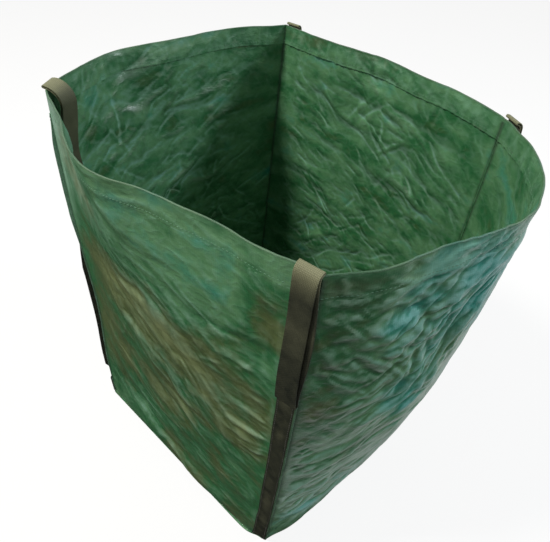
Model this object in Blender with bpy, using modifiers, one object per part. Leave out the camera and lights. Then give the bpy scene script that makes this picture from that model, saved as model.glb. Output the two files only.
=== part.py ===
"""A square garden leaf bag of coated woven cloth, built in Blender in metres with +Z up.

The front wall faces -Y and the right wall faces +X. Each wall carries a webbing strap along its right-hand end,
seen from outside, and a webbing handle loop hinges at the rim above that strap. The walls are one lofted shell:
a square at the floor that grows into a rounded mouth, with every side pushed out by its own amount.
"""

import math

import bpy
from mathutils import Vector

# The bag as a whole.
BASE_SIDE = 0.450
BAG_HEIGHT = 0.670
CLOTH_THICKNESS = 0.0016
CLEARANCE = 0.0004

# How far each mouth corner stands from the base corner below it, as (x, y).
MOUTH_SHIFT_FRONT_LEFT = (0.0170, 0.0255)
MOUTH_SHIFT_FRONT_RIGHT = (0.0120, 0.0170)
MOUTH_SHIFT_BACK_RIGHT = (-0.0040, -0.0411)
MOUTH_SHIFT_BACK_LEFT = (0.0260, 0.0115)
CORNER_BOW_FRONT_RIGHT = 0.0112
CORNER_BOW_BACK_RIGHT = 0.0050
CORNER_BOW_OTHERS = 0.0030

# How far the cloth is pushed out of the straight line between two corners: low down, high up and at the mouth.
FRONT_LOW_BULGE, FRONT_HIGH_BULGE, FRONT_MOUTH_BULGE = 0.0100, 0.0106, 0.0488
RIGHT_LOW_BULGE, RIGHT_HIGH_BULGE, RIGHT_MOUTH_BULGE = 0.1015, 0.0873, 0.0948
BACK_LOW_BULGE, BACK_HIGH_BULGE, BACK_MOUTH_BULGE = 0.0223, 0.0223, 0.0290
LEFT_LOW_BULGE, LEFT_HIGH_BULGE, LEFT_MOUTH_BULGE = 0.0190, 0.0190, 0.0658

# How each push is spread along its side: a lean of 1 is even, and a fullness under 1 makes the side rounder.
FRONT_LEAN_SHARE, FRONT_FULLNESS_SHARE = 0.74, 1.50
RIGHT_LEAN_SHARE, RIGHT_FULLNESS_SHARE = 1.25, 0.76
BACK_LEAN_SHARE, BACK_FULLNESS_SHARE = 0.80, 0.91
LEFT_LEAN_SHARE, LEFT_FULLNESS_SHARE = 1.20, 0.80

# The base, the rim and the seams.
BASE_THICKNESS = 0.0016
BASE_LIP = 0.0030
BASE_CORNER_RADIUS = 0.0060
HEM_DEPTH = 0.030
HEM_THICKNESS = 0.0028
HEM_FOLD_RADIUS = 0.0012
CORNER_GAP = 0.0022
SEAM_WIDTH = 0.0060
SEAM_THICKNESS = 0.0016

# The webbing.
STRAP_WIDTH = 0.025
STRAP_THICKNESS = 0.0013
STRAP_FROM_CORNER = 0.0060
STITCH_BOX_WIDTH = 0.018
STITCH_BOX_HEIGHT = 0.019
STITCH_BOX_BELOW_RIM = 0.006
STITCH_LINE_WIDTH = 0.0020
STITCH_LINE_THICKNESS = 0.0006

# The handle loops. Each is a hairpin round a bent centre line that starts on the hinge axis.
HANDLE_DROP = 0.160
OUTER_HANDLE_REACH = 0.0070
INNER_HANDLE_REACH = 0.0200
HANDLE_ROOT_RADIUS = 0.0014
HANDLE_TIP_RADIUS = 0.0050
HANDLE_ABOVE_RIM = HANDLE_ROOT_RADIUS + STRAP_THICKNESS / 2 + CLEARANCE

# How finely things are divided.
SIDE_SAMPLES = 240
SIDE_SPANS = 13
STRAP_SPANS = 4
WALL_ROWS = 14
HANDLE_SPANS = 22
HANDLE_END_SPANS = 6
CORNER_SPANS = 3
LEAST_SHARE = 0.0005

HALF = BASE_SIDE / 2
WALL_TOP = BAG_HEIGHT - HEM_DEPTH - CLEARANCE
WALL_BOTTOM = BASE_THICKNESS + CLEARANCE
WALL_NAMES = ("front", "right", "back", "left")

# Corners run counter-clockwise from the front left, seen from above, and wall number n runs from corner n to the next.
BASE_CORNERS = ((-HALF, -HALF), (HALF, -HALF), (HALF, HALF), (-HALF, HALF))
MOUTH_SHIFTS = (MOUTH_SHIFT_FRONT_LEFT, MOUTH_SHIFT_FRONT_RIGHT, MOUTH_SHIFT_BACK_RIGHT, MOUTH_SHIFT_BACK_LEFT)
CORNER_BOWS = (CORNER_BOW_OTHERS, CORNER_BOW_FRONT_RIGHT, CORNER_BOW_BACK_RIGHT, CORNER_BOW_OTHERS)
LOW_BULGES = (FRONT_LOW_BULGE, RIGHT_LOW_BULGE, BACK_LOW_BULGE, LEFT_LOW_BULGE)
HIGH_BULGES = (FRONT_HIGH_BULGE, RIGHT_HIGH_BULGE, BACK_HIGH_BULGE, LEFT_HIGH_BULGE)
MOUTH_BULGES = (FRONT_MOUTH_BULGE, RIGHT_MOUTH_BULGE, BACK_MOUTH_BULGE, LEFT_MOUTH_BULGE)
LEANS = (FRONT_LEAN_SHARE, RIGHT_LEAN_SHARE, BACK_LEAN_SHARE, LEFT_LEAN_SHARE)
FULLNESSES = (FRONT_FULLNESS_SHARE, RIGHT_FULLNESS_SHARE, BACK_FULLNESS_SHARE, LEFT_FULLNESS_SHARE)


def clear_scene():
    for thing in list(bpy.data.objects):
        bpy.data.objects.remove(thing, do_unlink=True)


def new_material(name, colour, roughness):
    material = bpy.data.materials.new(name)
    material.use_nodes = True
    shader = material.node_tree.nodes["Principled BSDF"]
    shader.inputs["Base Color"].default_value = (*colour, 1)
    shader.inputs["Roughness"].default_value = roughness
    material.diffuse_color = (*colour, 1)
    return material


def add_node(name, points, faces, material, origin=(0, 0, 0)):
    """An object of the part, whose own origin is put at the given place."""
    mesh = bpy.data.meshes.new(name)
    place = Vector(origin)
    mesh.from_pydata([tuple(Vector(p) - place) for p in points], [], faces)
    mesh.materials.append(material)
    thing = bpy.data.objects.new(name, mesh)
    thing.location = place
    part.objects.link(thing)
    for polygon in mesh.polygons:
        polygon.use_smooth = True
    return thing


def thicken(thing, thickness, side):
    """Gives an open sheet its thickness: side 1 is outward, -1 inward and 0 both ways."""
    solidify = thing.modifiers.new("thickness", "SOLIDIFY")
    solidify.thickness = thickness
    solidify.offset = side
    solidify.use_even_offset = True
    return solidify


def grid_faces(rows, columns, closed=False):
    """Faces of a grid whose points run row by row, turned so that they look outward."""
    faces = []
    spans = columns if closed else columns - 1
    for row in range(rows - 1):
        for column in range(spans):
            after = (column + 1) % columns
            low, high = row * columns, (row + 1) * columns
            faces.append((low + column, low + after, high + after, high + column))
    return faces


def corner_point(corner, height):
    """A point of the bag's corner line at this height."""
    corner %= len(BASE_CORNERS)
    share = height / BAG_HEIGHT
    base = Vector(BASE_CORNERS[corner])
    mouth = base + Vector(MOUTH_SHIFTS[corner])
    bow = base.normalized() * (CORNER_BOWS[corner] * 4 * share * (1 - share))
    flat = base.lerp(mouth, share) + bow
    return Vector((flat.x, flat.y, height))


def wall_point(wall, across, height):
    """A point of the shell's outer face: across runs from 0 to 1 along the wall."""
    start, end = corner_point(wall, height), corner_point(wall + 1, height)
    chord = end - start
    outward = Vector((chord.y, -chord.x, 0)).normalized()
    up = height / BAG_HEIGHT
    push = (
        3 * LOW_BULGES[wall] * up * (1 - up) ** 2
        + 3 * HIGH_BULGES[wall] * up**2 * (1 - up)
        + MOUTH_BULGES[wall] * up**3
    )
    lean = 1 + (LEANS[wall] - 1) * up**2
    inside = min(max(across, 0), 1)
    spread = max(math.sin(math.pi * inside**lean), 0) ** FULLNESSES[wall]
    return start.lerp(end, across) + outward * (push * spread)


def wall_course(wall, height):
    """Points along the wall at one height, with their distances from its right-hand end."""
    points = [wall_point(wall, 1 - n / SIDE_SAMPLES, height) for n in range(SIDE_SAMPLES + 1)]
    distances = [0]
    for before, after in zip(points, points[1:]):
        distances.append(distances[-1] + (after - before).length)
    return points, distances


def point_along(course, distance):
    """The point of a course at this distance from the wall's right-hand end."""
    points, distances = course
    for n in range(1, len(points)):
        if distances[n] >= distance:
            step = distances[n] - distances[n - 1]
            return points[n - 1].lerp(points[n], (distance - distances[n - 1]) / step)
    return points[-1]


def strap_stations():
    """Distances from the right-hand end of a wall that cross its strap."""
    return [STRAP_FROM_CORNER + STRAP_WIDTH * n / STRAP_SPANS for n in range(STRAP_SPANS + 1)]


def wall_stations(length):
    """Distances of every column of a wall from its right-hand end, the far end last."""
    straps = strap_stations()
    rest = length - CORNER_GAP - straps[-1]
    spans = SIDE_SPANS
    return [CORNER_GAP] + straps + [straps[-1] + rest * n / spans for n in range(1, spans + 1)]


def sheet_normal(rows, row, column):
    """Outward direction of a grid of points at one of them."""
    above, below = rows[min(row + 1, len(rows) - 1)], rows[max(row - 1, 0)]
    line = rows[row]
    along = line[min(column + 1, len(line) - 1)] - line[max(column - 1, 0)]
    up = above[column] - below[column]
    return along.cross(up).normalized()


def patch(wall, heights, stations, outward):
    """Rows of points on a wall at the given distances from its right-hand end, moved outward."""
    rows = []
    for height in heights:
        course = wall_course(wall, height)
        distances = stations(course[1][-1]) if callable(stations) else stations
        rows.append([point_along(course, distance) for distance in reversed(distances)])
    if not outward:
        return rows
    return [
        [point + sheet_normal(rows, r, c) * outward for c, point in enumerate(line)]
        for r, line in enumerate(rows)
    ]


def add_sheet(name, rows, material, thickness, side, origin=(0, 0, 0)):
    points = [point for line in rows for point in line]
    sheet = add_node(name, points, grid_faces(len(rows), len(rows[0])), material, origin)
    thicken(sheet, thickness, side)
    return sheet


def even_heights(low, high, spans):
    return [low + (high - low) * n / spans for n in range(spans + 1)]


def build_base():
    """The floor panel, whose lip stands out past the walls it is sewn to."""
    half = HALF + BASE_LIP
    arc = []
    for quarter, (x, y) in enumerate(((1, 1), (-1, 1), (-1, -1), (1, -1))):
        centre = Vector((x * (half - BASE_CORNER_RADIUS), y * (half - BASE_CORNER_RADIUS), 0))
        for n in range(CORNER_SPANS + 1):
            angle = math.pi / 2 * (quarter + n / CORNER_SPANS)
            arc.append(centre + Vector((math.cos(angle), math.sin(angle), 0)) * BASE_CORNER_RADIUS)
    base = add_node("base_panel", arc, [tuple(range(len(arc)))], cloth)
    for polygon in base.data.polygons:
        polygon.use_smooth = False
    thicken(base, BASE_THICKNESS, 1)


def build_wall(wall):
    """One wall panel of cloth, from the floor panel up to the hem."""
    heights = even_heights(WALL_BOTTOM, WALL_TOP, WALL_ROWS)
    add_sheet("wall_" + WALL_NAMES[wall], patch(wall, heights, wall_stations, 0), cloth, CLOTH_THICKNESS, -1)


def build_hem():
    """The rim's doubled fold, one band all the way round."""
    rows = []
    for height in (BAG_HEIGHT - HEM_DEPTH, BAG_HEIGHT - HEM_DEPTH / 2, BAG_HEIGHT):
        line = []
        for wall in range(len(WALL_NAMES)):
            course = wall_course(wall, height)
            stations = wall_stations(course[1][-1])
            line += [point_along(course, distance) for distance in reversed(stations)]
            line.append(corner_point(wall + 1, height))
        rows.append(line)
    points = [point for line in rows for point in line]
    hem = add_node("rim_hem", points, grid_faces(len(rows), len(rows[0]), closed=True), hem_cloth)
    thicken(hem, HEM_THICKNESS, -1)
    fold = hem.modifiers.new("fold", "BEVEL")
    fold.limit_method = "ANGLE"
    fold.angle_limit = math.radians(70)
    fold.width = HEM_FOLD_RADIUS
    fold.segments = 2


def build_seam(corner):
    """The sewn edge that stands out along one corner, where two walls meet."""
    name = "seam_" + WALL_NAMES[(corner - 1) % len(WALL_NAMES)]
    rows = []
    for height in even_heights(WALL_BOTTOM, WALL_TOP, WALL_ROWS):
        root = corner_point(corner, height)
        before = point_along(wall_course((corner - 1) % 4, height), STRAP_FROM_CORNER)
        course = wall_course(corner % 4, height)
        after = point_along(course, course[1][-1] - STRAP_FROM_CORNER)
        past = after - before
        outward = Vector((past.y, -past.x, 0)).normalized()
        rows.append([root, root + outward * SEAM_WIDTH])
    add_sheet(name, rows, cloth, SEAM_THICKNESS, 0)


def build_strap(wall):
    """The webbing sewn up the outside of a wall, next to its right-hand corner."""
    heights = even_heights(WALL_BOTTOM, WALL_TOP, WALL_ROWS)
    rows = patch(wall, heights, strap_stations(), CLEARANCE)
    add_sheet("strap_" + WALL_NAMES[wall], rows, webbing, STRAP_THICKNESS, 1)


def build_anchor(wall):
    """The end of that strap, sewn over the hem and up to the rim."""
    heights = even_heights(BAG_HEIGHT - HEM_DEPTH, BAG_HEIGHT, 2)
    rows = patch(wall, heights, strap_stations(), CLEARANCE)
    add_sheet("anchor_" + WALL_NAMES[wall], rows, webbing, STRAP_THICKNESS, 1)


def rim_frame(wall):
    """Middle of the strap at the rim, the direction along the rim and the direction out of the bag."""
    course = wall_course(wall, BAG_HEIGHT)
    stations = strap_stations()
    left, right = point_along(course, stations[-1]), point_along(course, stations[0])
    along = (right - left).normalized()
    middle = point_along(course, (stations[0] + stations[-1]) / 2)
    return middle, along, Vector((along.y, -along.x, 0))


def build_stitch_box(wall):
    """The stitched rectangle that holds the strap's end to the hem."""
    left = STRAP_FROM_CORNER + (STRAP_WIDTH - STITCH_BOX_WIDTH) / 2
    right = left + STITCH_BOX_WIDTH
    inner = [d for d in strap_stations() if left + STITCH_LINE_WIDTH < d < right - STITCH_LINE_WIDTH]
    stations = [left, left + STITCH_LINE_WIDTH] + inner + [right - STITCH_LINE_WIDTH, right]
    top = BAG_HEIGHT - STITCH_BOX_BELOW_RIM
    low = top - STITCH_BOX_HEIGHT
    heights = [low, low + STITCH_LINE_WIDTH, top - STITCH_LINE_WIDTH, top]
    rows = patch(wall, heights, stations, CLEARANCE + STRAP_THICKNESS + CLEARANCE)
    columns = len(stations)
    spans = columns - 1
    frame = [
        face
        for n, face in enumerate(grid_faces(len(rows), columns))
        if n // spans in (0, len(rows) - 2) or n % spans in (0, spans - 1)
    ]
    box = add_node("stitch_box_" + WALL_NAMES[wall], [p for line in rows for p in line], frame, thread)
    thicken(box, STITCH_LINE_THICKNESS, 1)


def strap_stand_out(wall, drop):
    """How far a wall's strap stands out of the rim's own plane at this depth below the rim."""
    middle, _, outward = rim_frame(wall)
    course = wall_course(wall, BAG_HEIGHT - drop)
    return max((point_along(course, distance) - middle).dot(outward) for distance in strap_stations())


def handle_spine(wall, reach, inside):
    """Centre line of a hanging handle, as (out, up) from its hinge axis: over the rim and then down the wall."""
    bend = reach
    spine = []
    arc_spans = HANDLE_SPANS // 2
    for n in range(arc_spans + 1):
        angle = math.pi / 2 * n / arc_spans
        spine.append((bend * math.sin(angle), bend * (math.cos(angle) - 1)))
    down_spans = HANDLE_SPANS - arc_spans
    for n in range(1, down_spans + 1):
        drop = bend + (HANDLE_DROP - bend - HANDLE_TIP_RADIUS) * n / down_spans
        lean = 0 if inside else max(strap_stand_out(wall, drop), 0)
        spine.append((bend + lean, -drop))
    return spine


def handle_outline(wall, reach, inside):
    """The loop of webbing round that centre line, as (out, up) points of its middle surface."""
    spine = handle_spine(wall, reach, inside)
    last = len(spine) - 1
    lengths = [0]
    for before, after in zip(spine, spine[1:]):
        lengths.append(lengths[-1] + math.dist(before, after))
    outer, inner = [], []
    for n, (out, up) in enumerate(spine):
        before, after = spine[max(n - 1, 0)], spine[min(n + 1, last)]
        step = math.dist(before, after)
        tangent = ((after[0] - before[0]) / step, (after[1] - before[1]) / step)
        if n == 0:
            tangent = (1, 0)
        share = lengths[n] / lengths[-1]
        gap = HANDLE_ROOT_RADIUS + (HANDLE_TIP_RADIUS - HANDLE_ROOT_RADIUS) * share
        outer.append((out - tangent[1] * gap, up + tangent[0] * gap))
        inner.append((out + tangent[1] * gap, up - tangent[0] * gap))
    ends = []
    for place, towards, radius in ((spine[-1], tangent, HANDLE_TIP_RADIUS), (spine[0], (-1, 0), HANDLE_ROOT_RADIUS)):
        side = (-towards[1], towards[0])
        turn = []
        for n in range(1, HANDLE_END_SPANS):
            angle = math.pi * n / HANDLE_END_SPANS
            across, ahead = math.cos(angle) * radius, math.sin(angle) * radius
            turn.append((
                place[0] + side[0] * across + towards[0] * ahead,
                place[1] + side[1] * across + towards[1] * ahead,
            ))
        ends.append(turn)
    return outer + ends[0] + inner[::-1] + ends[1]


def build_handle(wall):
    """One handle loop at rest: hanging outside the bag, or flopped inside it at the left wall."""
    middle, along, outward = rim_frame(wall)
    inside = WALL_NAMES[wall] == "left"
    way = -outward if inside else outward
    axis = middle + outward * (CLEARANCE + STRAP_THICKNESS / 2)
    axis.z = BAG_HEIGHT + HANDLE_ABOVE_RIM
    reach = INNER_HANDLE_REACH if inside else OUTER_HANDLE_REACH
    outline = handle_outline(wall, reach, inside)
    rows = []
    for edge in (-1, 1):
        shift = along * (edge * STRAP_WIDTH / 2)
        rows.append([axis + way * out + Vector((0, 0, up)) + shift for out, up in outline])
    points = [point for line in rows for point in line]
    faces = grid_faces(len(rows), len(outline), closed=True)
    loop = add_node("handle_" + WALL_NAMES[wall], points, faces, webbing, axis)
    thicken(loop, STRAP_THICKNESS, 0)


clear_scene()
part = bpy.data.collections.new("leaf_bag")
bpy.context.scene.collection.children.link(part)

cloth = new_material("green_coated_cloth", (0.022, 0.085, 0.045), 0.42)
hem_cloth = new_material("green_hem_cloth", (0.026, 0.095, 0.052), 0.40)
webbing = new_material("black_webbing", (0.016, 0.015, 0.013), 0.72)
thread = new_material("black_thread", (0.030, 0.029, 0.028), 0.60)

build_base()
build_hem()
for number in range(len(WALL_NAMES)):
    build_wall(number)
    build_seam(number + 1)
    build_strap(number)
    build_anchor(number)
    build_stitch_box(number)
    build_handle(number)
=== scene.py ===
# %% [markdown]
# # A square garden leaf bag of coated woven cloth
#
# The real bag is sewn from four walls and a floor of woven polyethylene tape with a thin melted coat.
# Its mouth is hemmed, a strip of black webbing runs up each corner, and each corner carries a webbing loop.
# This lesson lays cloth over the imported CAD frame: the CAD solids keep every size and joint, and the pieces
# made here bring the creases, the weave, the stitching and the light.
#
# The first cell loads that frame. Everything is in metres, with +Z up and the front wall facing -Y.

# %% Load the frame
import math

import bpy
import numpy as np
from mathutils import Matrix, Vector


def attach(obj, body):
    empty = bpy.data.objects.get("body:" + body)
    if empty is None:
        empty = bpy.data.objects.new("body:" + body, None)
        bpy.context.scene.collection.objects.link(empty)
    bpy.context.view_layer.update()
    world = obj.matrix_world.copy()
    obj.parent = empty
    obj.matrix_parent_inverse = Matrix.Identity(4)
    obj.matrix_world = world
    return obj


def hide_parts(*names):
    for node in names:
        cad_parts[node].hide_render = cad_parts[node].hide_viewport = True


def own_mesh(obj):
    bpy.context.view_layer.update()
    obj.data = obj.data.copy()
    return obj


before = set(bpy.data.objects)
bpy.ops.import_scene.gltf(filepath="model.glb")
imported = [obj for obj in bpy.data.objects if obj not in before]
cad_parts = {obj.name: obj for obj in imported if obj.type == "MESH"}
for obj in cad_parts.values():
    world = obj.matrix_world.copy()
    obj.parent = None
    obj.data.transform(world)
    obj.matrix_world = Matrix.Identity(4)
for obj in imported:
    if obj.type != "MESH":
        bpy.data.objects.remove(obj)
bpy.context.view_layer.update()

# %% [markdown]
# ## The camera
#
# A photograph fixes one place, one direction and one lens. They could be set by eye, but here they were worked
# out first from the floor square, the mouth and the webbing, so the numbers are simply written down. The camera
# stands close to the bag and above it, which is why the near corner looks so much larger than the far one.

# %% Camera
IMAGE_WIDTH = 550
FOCAL_PIXELS = 470.12
SENSOR_WIDTH_MM = 36
CAMERA_PLACE = Vector((0.3763, -0.4373, 0.9259))
CAMERA_AZIMUTH, CAMERA_ELEVATION, CAMERA_ROLL = 0.68950, 0.76457, 0.07946

camera_data = bpy.data.cameras.new("camera")
camera_data.sensor_width = SENSOR_WIDTH_MM
camera_data.lens = SENSOR_WIDTH_MM * FOCAL_PIXELS / IMAGE_WIDTH
camera_data.clip_start = 0.02
camera = bpy.data.objects.new("camera", camera_data)
bpy.context.scene.collection.objects.link(camera)

camera_back = Vector((
    math.sin(CAMERA_AZIMUTH) * math.cos(CAMERA_ELEVATION),
    -math.cos(CAMERA_AZIMUTH) * math.cos(CAMERA_ELEVATION),
    math.sin(CAMERA_ELEVATION),
))
level_right = (-camera_back).cross(Vector((0, 0, 1))).normalized()
level_up = level_right.cross(-camera_back)
camera_right = level_right * math.cos(CAMERA_ROLL) + level_up * math.sin(CAMERA_ROLL)
camera_up = level_up * math.cos(CAMERA_ROLL) - level_right * math.sin(CAMERA_ROLL)
camera_turn = Matrix((camera_right, camera_up, camera_back)).transposed().to_4x4()
camera.matrix_world = Matrix.Translation(CAMERA_PLACE) @ camera_turn
bpy.context.scene.camera = camera
print("lens", round(camera_data.lens, 2), "mm")

# %% [markdown]
# ## The shape of the shell
#
# The cloth is a loft: a square floor grows into a rounded mouth. Each corner has its own line from floor to rim,
# and each wall is pushed out of the straight line between its two corners. The numbers repeat those of the CAD,
# so the cloth lies exactly where the solids are. Walls are numbered front, right, back, left, and a place on a
# wall is given as two lengths: how far it is from the wall's right-hand end, seen from outside, and its height.

# %% Numbers of the shell
WALL_NAMES = ("front", "right", "back", "left")
BASE_SIDE, BAG_HEIGHT = 0.450, 0.670
HALF = BASE_SIDE / 2
BASE_CORNERS = np.array([(-HALF, -HALF), (HALF, -HALF), (HALF, HALF), (-HALF, HALF)])
MOUTH_SHIFTS = np.array([(0.0170, 0.0255), (0.0120, 0.0170), (-0.0040, -0.0411), (0.0260, 0.0115)])
CORNER_BOWS = (0.0030, 0.0112, 0.0050, 0.0030)
# Outward push of each wall low down, high up and at the mouth.
BULGES = (
    (0.0100, 0.0106, 0.0488), (0.1015, 0.0873, 0.0948), (0.0223, 0.0223, 0.0290), (0.0190, 0.0190, 0.0658),
)
LEANS_AND_FULLNESSES = ((0.74, 1.50), (1.25, 0.76), (0.80, 0.91), (1.20, 0.80))
CLOTH_BOTTOM, HEM_BOTTOM = 0.0020, 0.6398
STRAP_FROM_CORNER, STRAP_WIDTH = 0.006, 0.025

# %% [markdown]
# The loft is worked out once, as a table for each wall: a row for every few millimetres of height, and in each row
# points at equal steps along the cloth. Any place on the wall is then read between the table's points.

# %% The loft as a table
TABLE_HEIGHTS = np.linspace(0, 0.672, 169)
TABLE_STEPS = 401


def corner_line(corner, height):
    corner %= 4
    share = height / BAG_HEIGHT
    base = BASE_CORNERS[corner]
    bow = base / np.linalg.norm(base) * CORNER_BOWS[corner] * 4 * share * (1 - share)
    return base + MOUTH_SHIFTS[corner] * share + bow


def wall_row(wall, height):
    start, end = corner_line(wall, height), corner_line(wall + 1, height)
    chord = end - start
    outward = np.array([chord[1], -chord[0]]) / np.hypot(*chord)
    up = height / BAG_HEIGHT
    low, high, mouth = BULGES[wall]
    push = 3 * low * up * (1 - up) ** 2 + 3 * high * up**2 * (1 - up) + mouth * up**3
    lean, fullness = LEANS_AND_FULLNESSES[wall]
    across = np.linspace(1, 0, TABLE_STEPS)
    spread = np.maximum(np.sin(np.pi * across ** (1 + (lean - 1) * up**2)), 0) ** fullness
    points = start + across[:, None] * chord + spread[:, None] * push * outward
    steps = np.hypot(*np.diff(points, axis=0).T)
    along = np.concatenate([[0], np.cumsum(steps)])
    even = np.linspace(0, along[-1], TABLE_STEPS)
    return np.stack([np.interp(even, along, points[:, 0]), np.interp(even, along, points[:, 1])], 1), along[-1]


wall_tables, wall_lengths = [], []
for number in range(4):
    rows, lengths = zip(*(wall_row(number, height) for height in TABLE_HEIGHTS))
    wall_tables.append(np.array(rows))
    wall_lengths.append(np.array(lengths))
    print(WALL_NAMES[number], "wall:", round(lengths[0], 3), "m at the floor,", round(lengths[-1], 3), "m at the rim")


# %% [markdown]
# Two corners are drawn in a little: the bottom of the one that faces the camera, which nothing pushes out, and the
# middle of the front left one, where the strap pulls.

# %% Reading a place on the shell
# (wall whose right-hand end is the corner, its neighbour, direction, depth, height of the middle, reach along both
# walls, reach up), in metres
TUCKS = (
    (0, 1, (-1, 1), 0.0160, 0.0, 0.030, 0.034),
    (3, 0, (1, 1), 0.0080, 0.280, 0.050, 0.130),
)
NORMAL_REACH = 0.004


def length_at(wall, height):
    return np.interp(height, TABLE_HEIGHTS, wall_lengths[wall])


def unit(vectors):
    return vectors / np.linalg.norm(vectors, axis=-1, keepdims=True)


def smooth_shell(wall, distance, height):
    """Points of the uncreased outer face."""
    distance, height = np.broadcast_arrays(np.asarray(distance, float), np.asarray(height, float))
    row = np.clip(height / (TABLE_HEIGHTS[1] - TABLE_HEIGHTS[0]), 0, len(TABLE_HEIGHTS) - 1.001)
    step = np.clip(distance / length_at(wall, height), 0, 1) * (TABLE_STEPS - 1.001)
    r, s = row.astype(int), step.astype(int)
    fr, fs = (row - r)[..., None], (step - s)[..., None]
    table = wall_tables[wall]
    flat = (table[r, s] * (1 - fs) + table[r, s + 1] * fs) * (1 - fr)
    flat = flat + (table[r + 1, s] * (1 - fs) + table[r + 1, s + 1] * fs) * fr
    for first, neighbour, way, depth, middle, reach, reach_up in TUCKS:
        if wall in (first, neighbour):
            from_corner = distance if wall == first else length_at(wall, height) - distance
            share = np.exp(-((from_corner / reach) ** 2) - ((height - middle) / reach_up) ** 2)
            flat = flat + np.array(way) * (depth / math.sqrt(2)) * share[..., None]
    return np.concatenate([flat, height[..., None]], -1)


def shell_normal(wall, distance, height):
    right, left = (smooth_shell(wall, distance + step, height) for step in (-NORMAL_REACH, NORMAL_REACH))
    high, low = np.minimum(height + NORMAL_REACH, BAG_HEIGHT), np.maximum(height - NORMAL_REACH, 0.0)
    up = smooth_shell(wall, distance, high) - smooth_shell(wall, distance, low)
    return unit(np.cross(right - left, up))


# %% [markdown]
# ## Creases
#
# Coated woven cloth is stiff and thin: it can't stretch, so it crumples into small flat facets that meet in sharp
# folds, and each fold stays a little pale where the coat has cracked. A cloth simulation could find such folds, but
# the creases of this bag are set, not falling, so they are modelled as what they are: wide hollows, patches of
# facets that each run their own way, and single long folds. First come two random fields to build them from.

# %% Random fields
FIELD_SIZE = 64


def cells(x, y):
    """The cell that each place is in, and how far across the cell it is."""
    xi, yi = np.floor(x).astype(int), np.floor(y).astype(int)
    return xi, yi, x - xi, y - yi


def field(x, y, seed):
    """Smooth gradient noise, about -0.7 to 0.7, the same on every run."""
    angles = np.random.default_rng(seed).uniform(0, 2 * np.pi, (FIELD_SIZE, FIELD_SIZE))
    xi, yi, fx, fy = cells(x, y)

    def slope(dx, dy):
        angle = angles[(xi + dx) % FIELD_SIZE, (yi + dy) % FIELD_SIZE]
        return np.cos(angle) * (fx - dx) + np.sin(angle) * (fy - dy)

    ux, uy = fx**3 * (fx * (fx * 6 - 15) + 10), fy**3 * (fy * (fy * 6 - 15) + 10)
    low = slope(0, 0) * (1 - ux) + slope(1, 0) * ux
    high = slope(0, 1) * (1 - ux) + slope(1, 1) * ux
    return low * (1 - uy) + high * uy


def facets(x, y, seed):
    """Flat triangles between random heights, -1 to 1: the surface of crumpled paper."""
    chance = np.random.default_rng(seed)
    heights = chance.uniform(-1, 1, (FIELD_SIZE, FIELD_SIZE))
    diagonal = chance.random((FIELD_SIZE, FIELD_SIZE)) < 0.5
    x, y = x + 0.75 * field(x * 0.8, y * 0.8, seed + 1), y + 0.75 * field(x * 0.8, y * 0.8, seed + 2)
    xi, yi, fx, fy = cells(x, y)
    left, right, below, above = (place % FIELD_SIZE for place in (xi, xi + 1, yi, yi + 1))
    a, b, c, d = heights[left, below], heights[right, below], heights[left, above], heights[right, above]
    rising = np.where(fx > fy, a + (b - a) * fx + (d - b) * fy, a + (d - c) * fx + (c - a) * fy)
    falling = np.where(fx + fy < 1, a + (b - a) * fx + (c - a) * fy, d + (c - d) * (1 - fx) + (b - d) * (1 - fy))
    return np.where(diagonal[left, below], rising, falling)


def ridges(x, y, seed):
    """Smooth noise folded at zero, which leaves a net of sharp crests from 0 to 1."""
    return np.clip(1 - 2.2 * np.abs(field(x, y, seed)), 0, 1) ** 2


def soft_step(value, low, high):
    share = np.clip((value - low) / (high - low), 0, 1)
    return share * share * (3 - 2 * share)


def turned(across, up, degrees):
    """Steps to the right and up, measured along a slanting direction and across it."""
    way = math.radians(degrees)
    return across * math.cos(way) + up * math.sin(way), up * math.cos(way) - across * math.sin(way)


# %% [markdown]
# Each wall has a list of crumpled patches, read off the photograph: where the patch is, how far it reaches, which way
# its facets run (0 is level, positive rises to the right), their length and width, and how deep they are. A second
# list holds groups of single folds. All these lengths are in millimetres, because that is how a sewer would give them.

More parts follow.
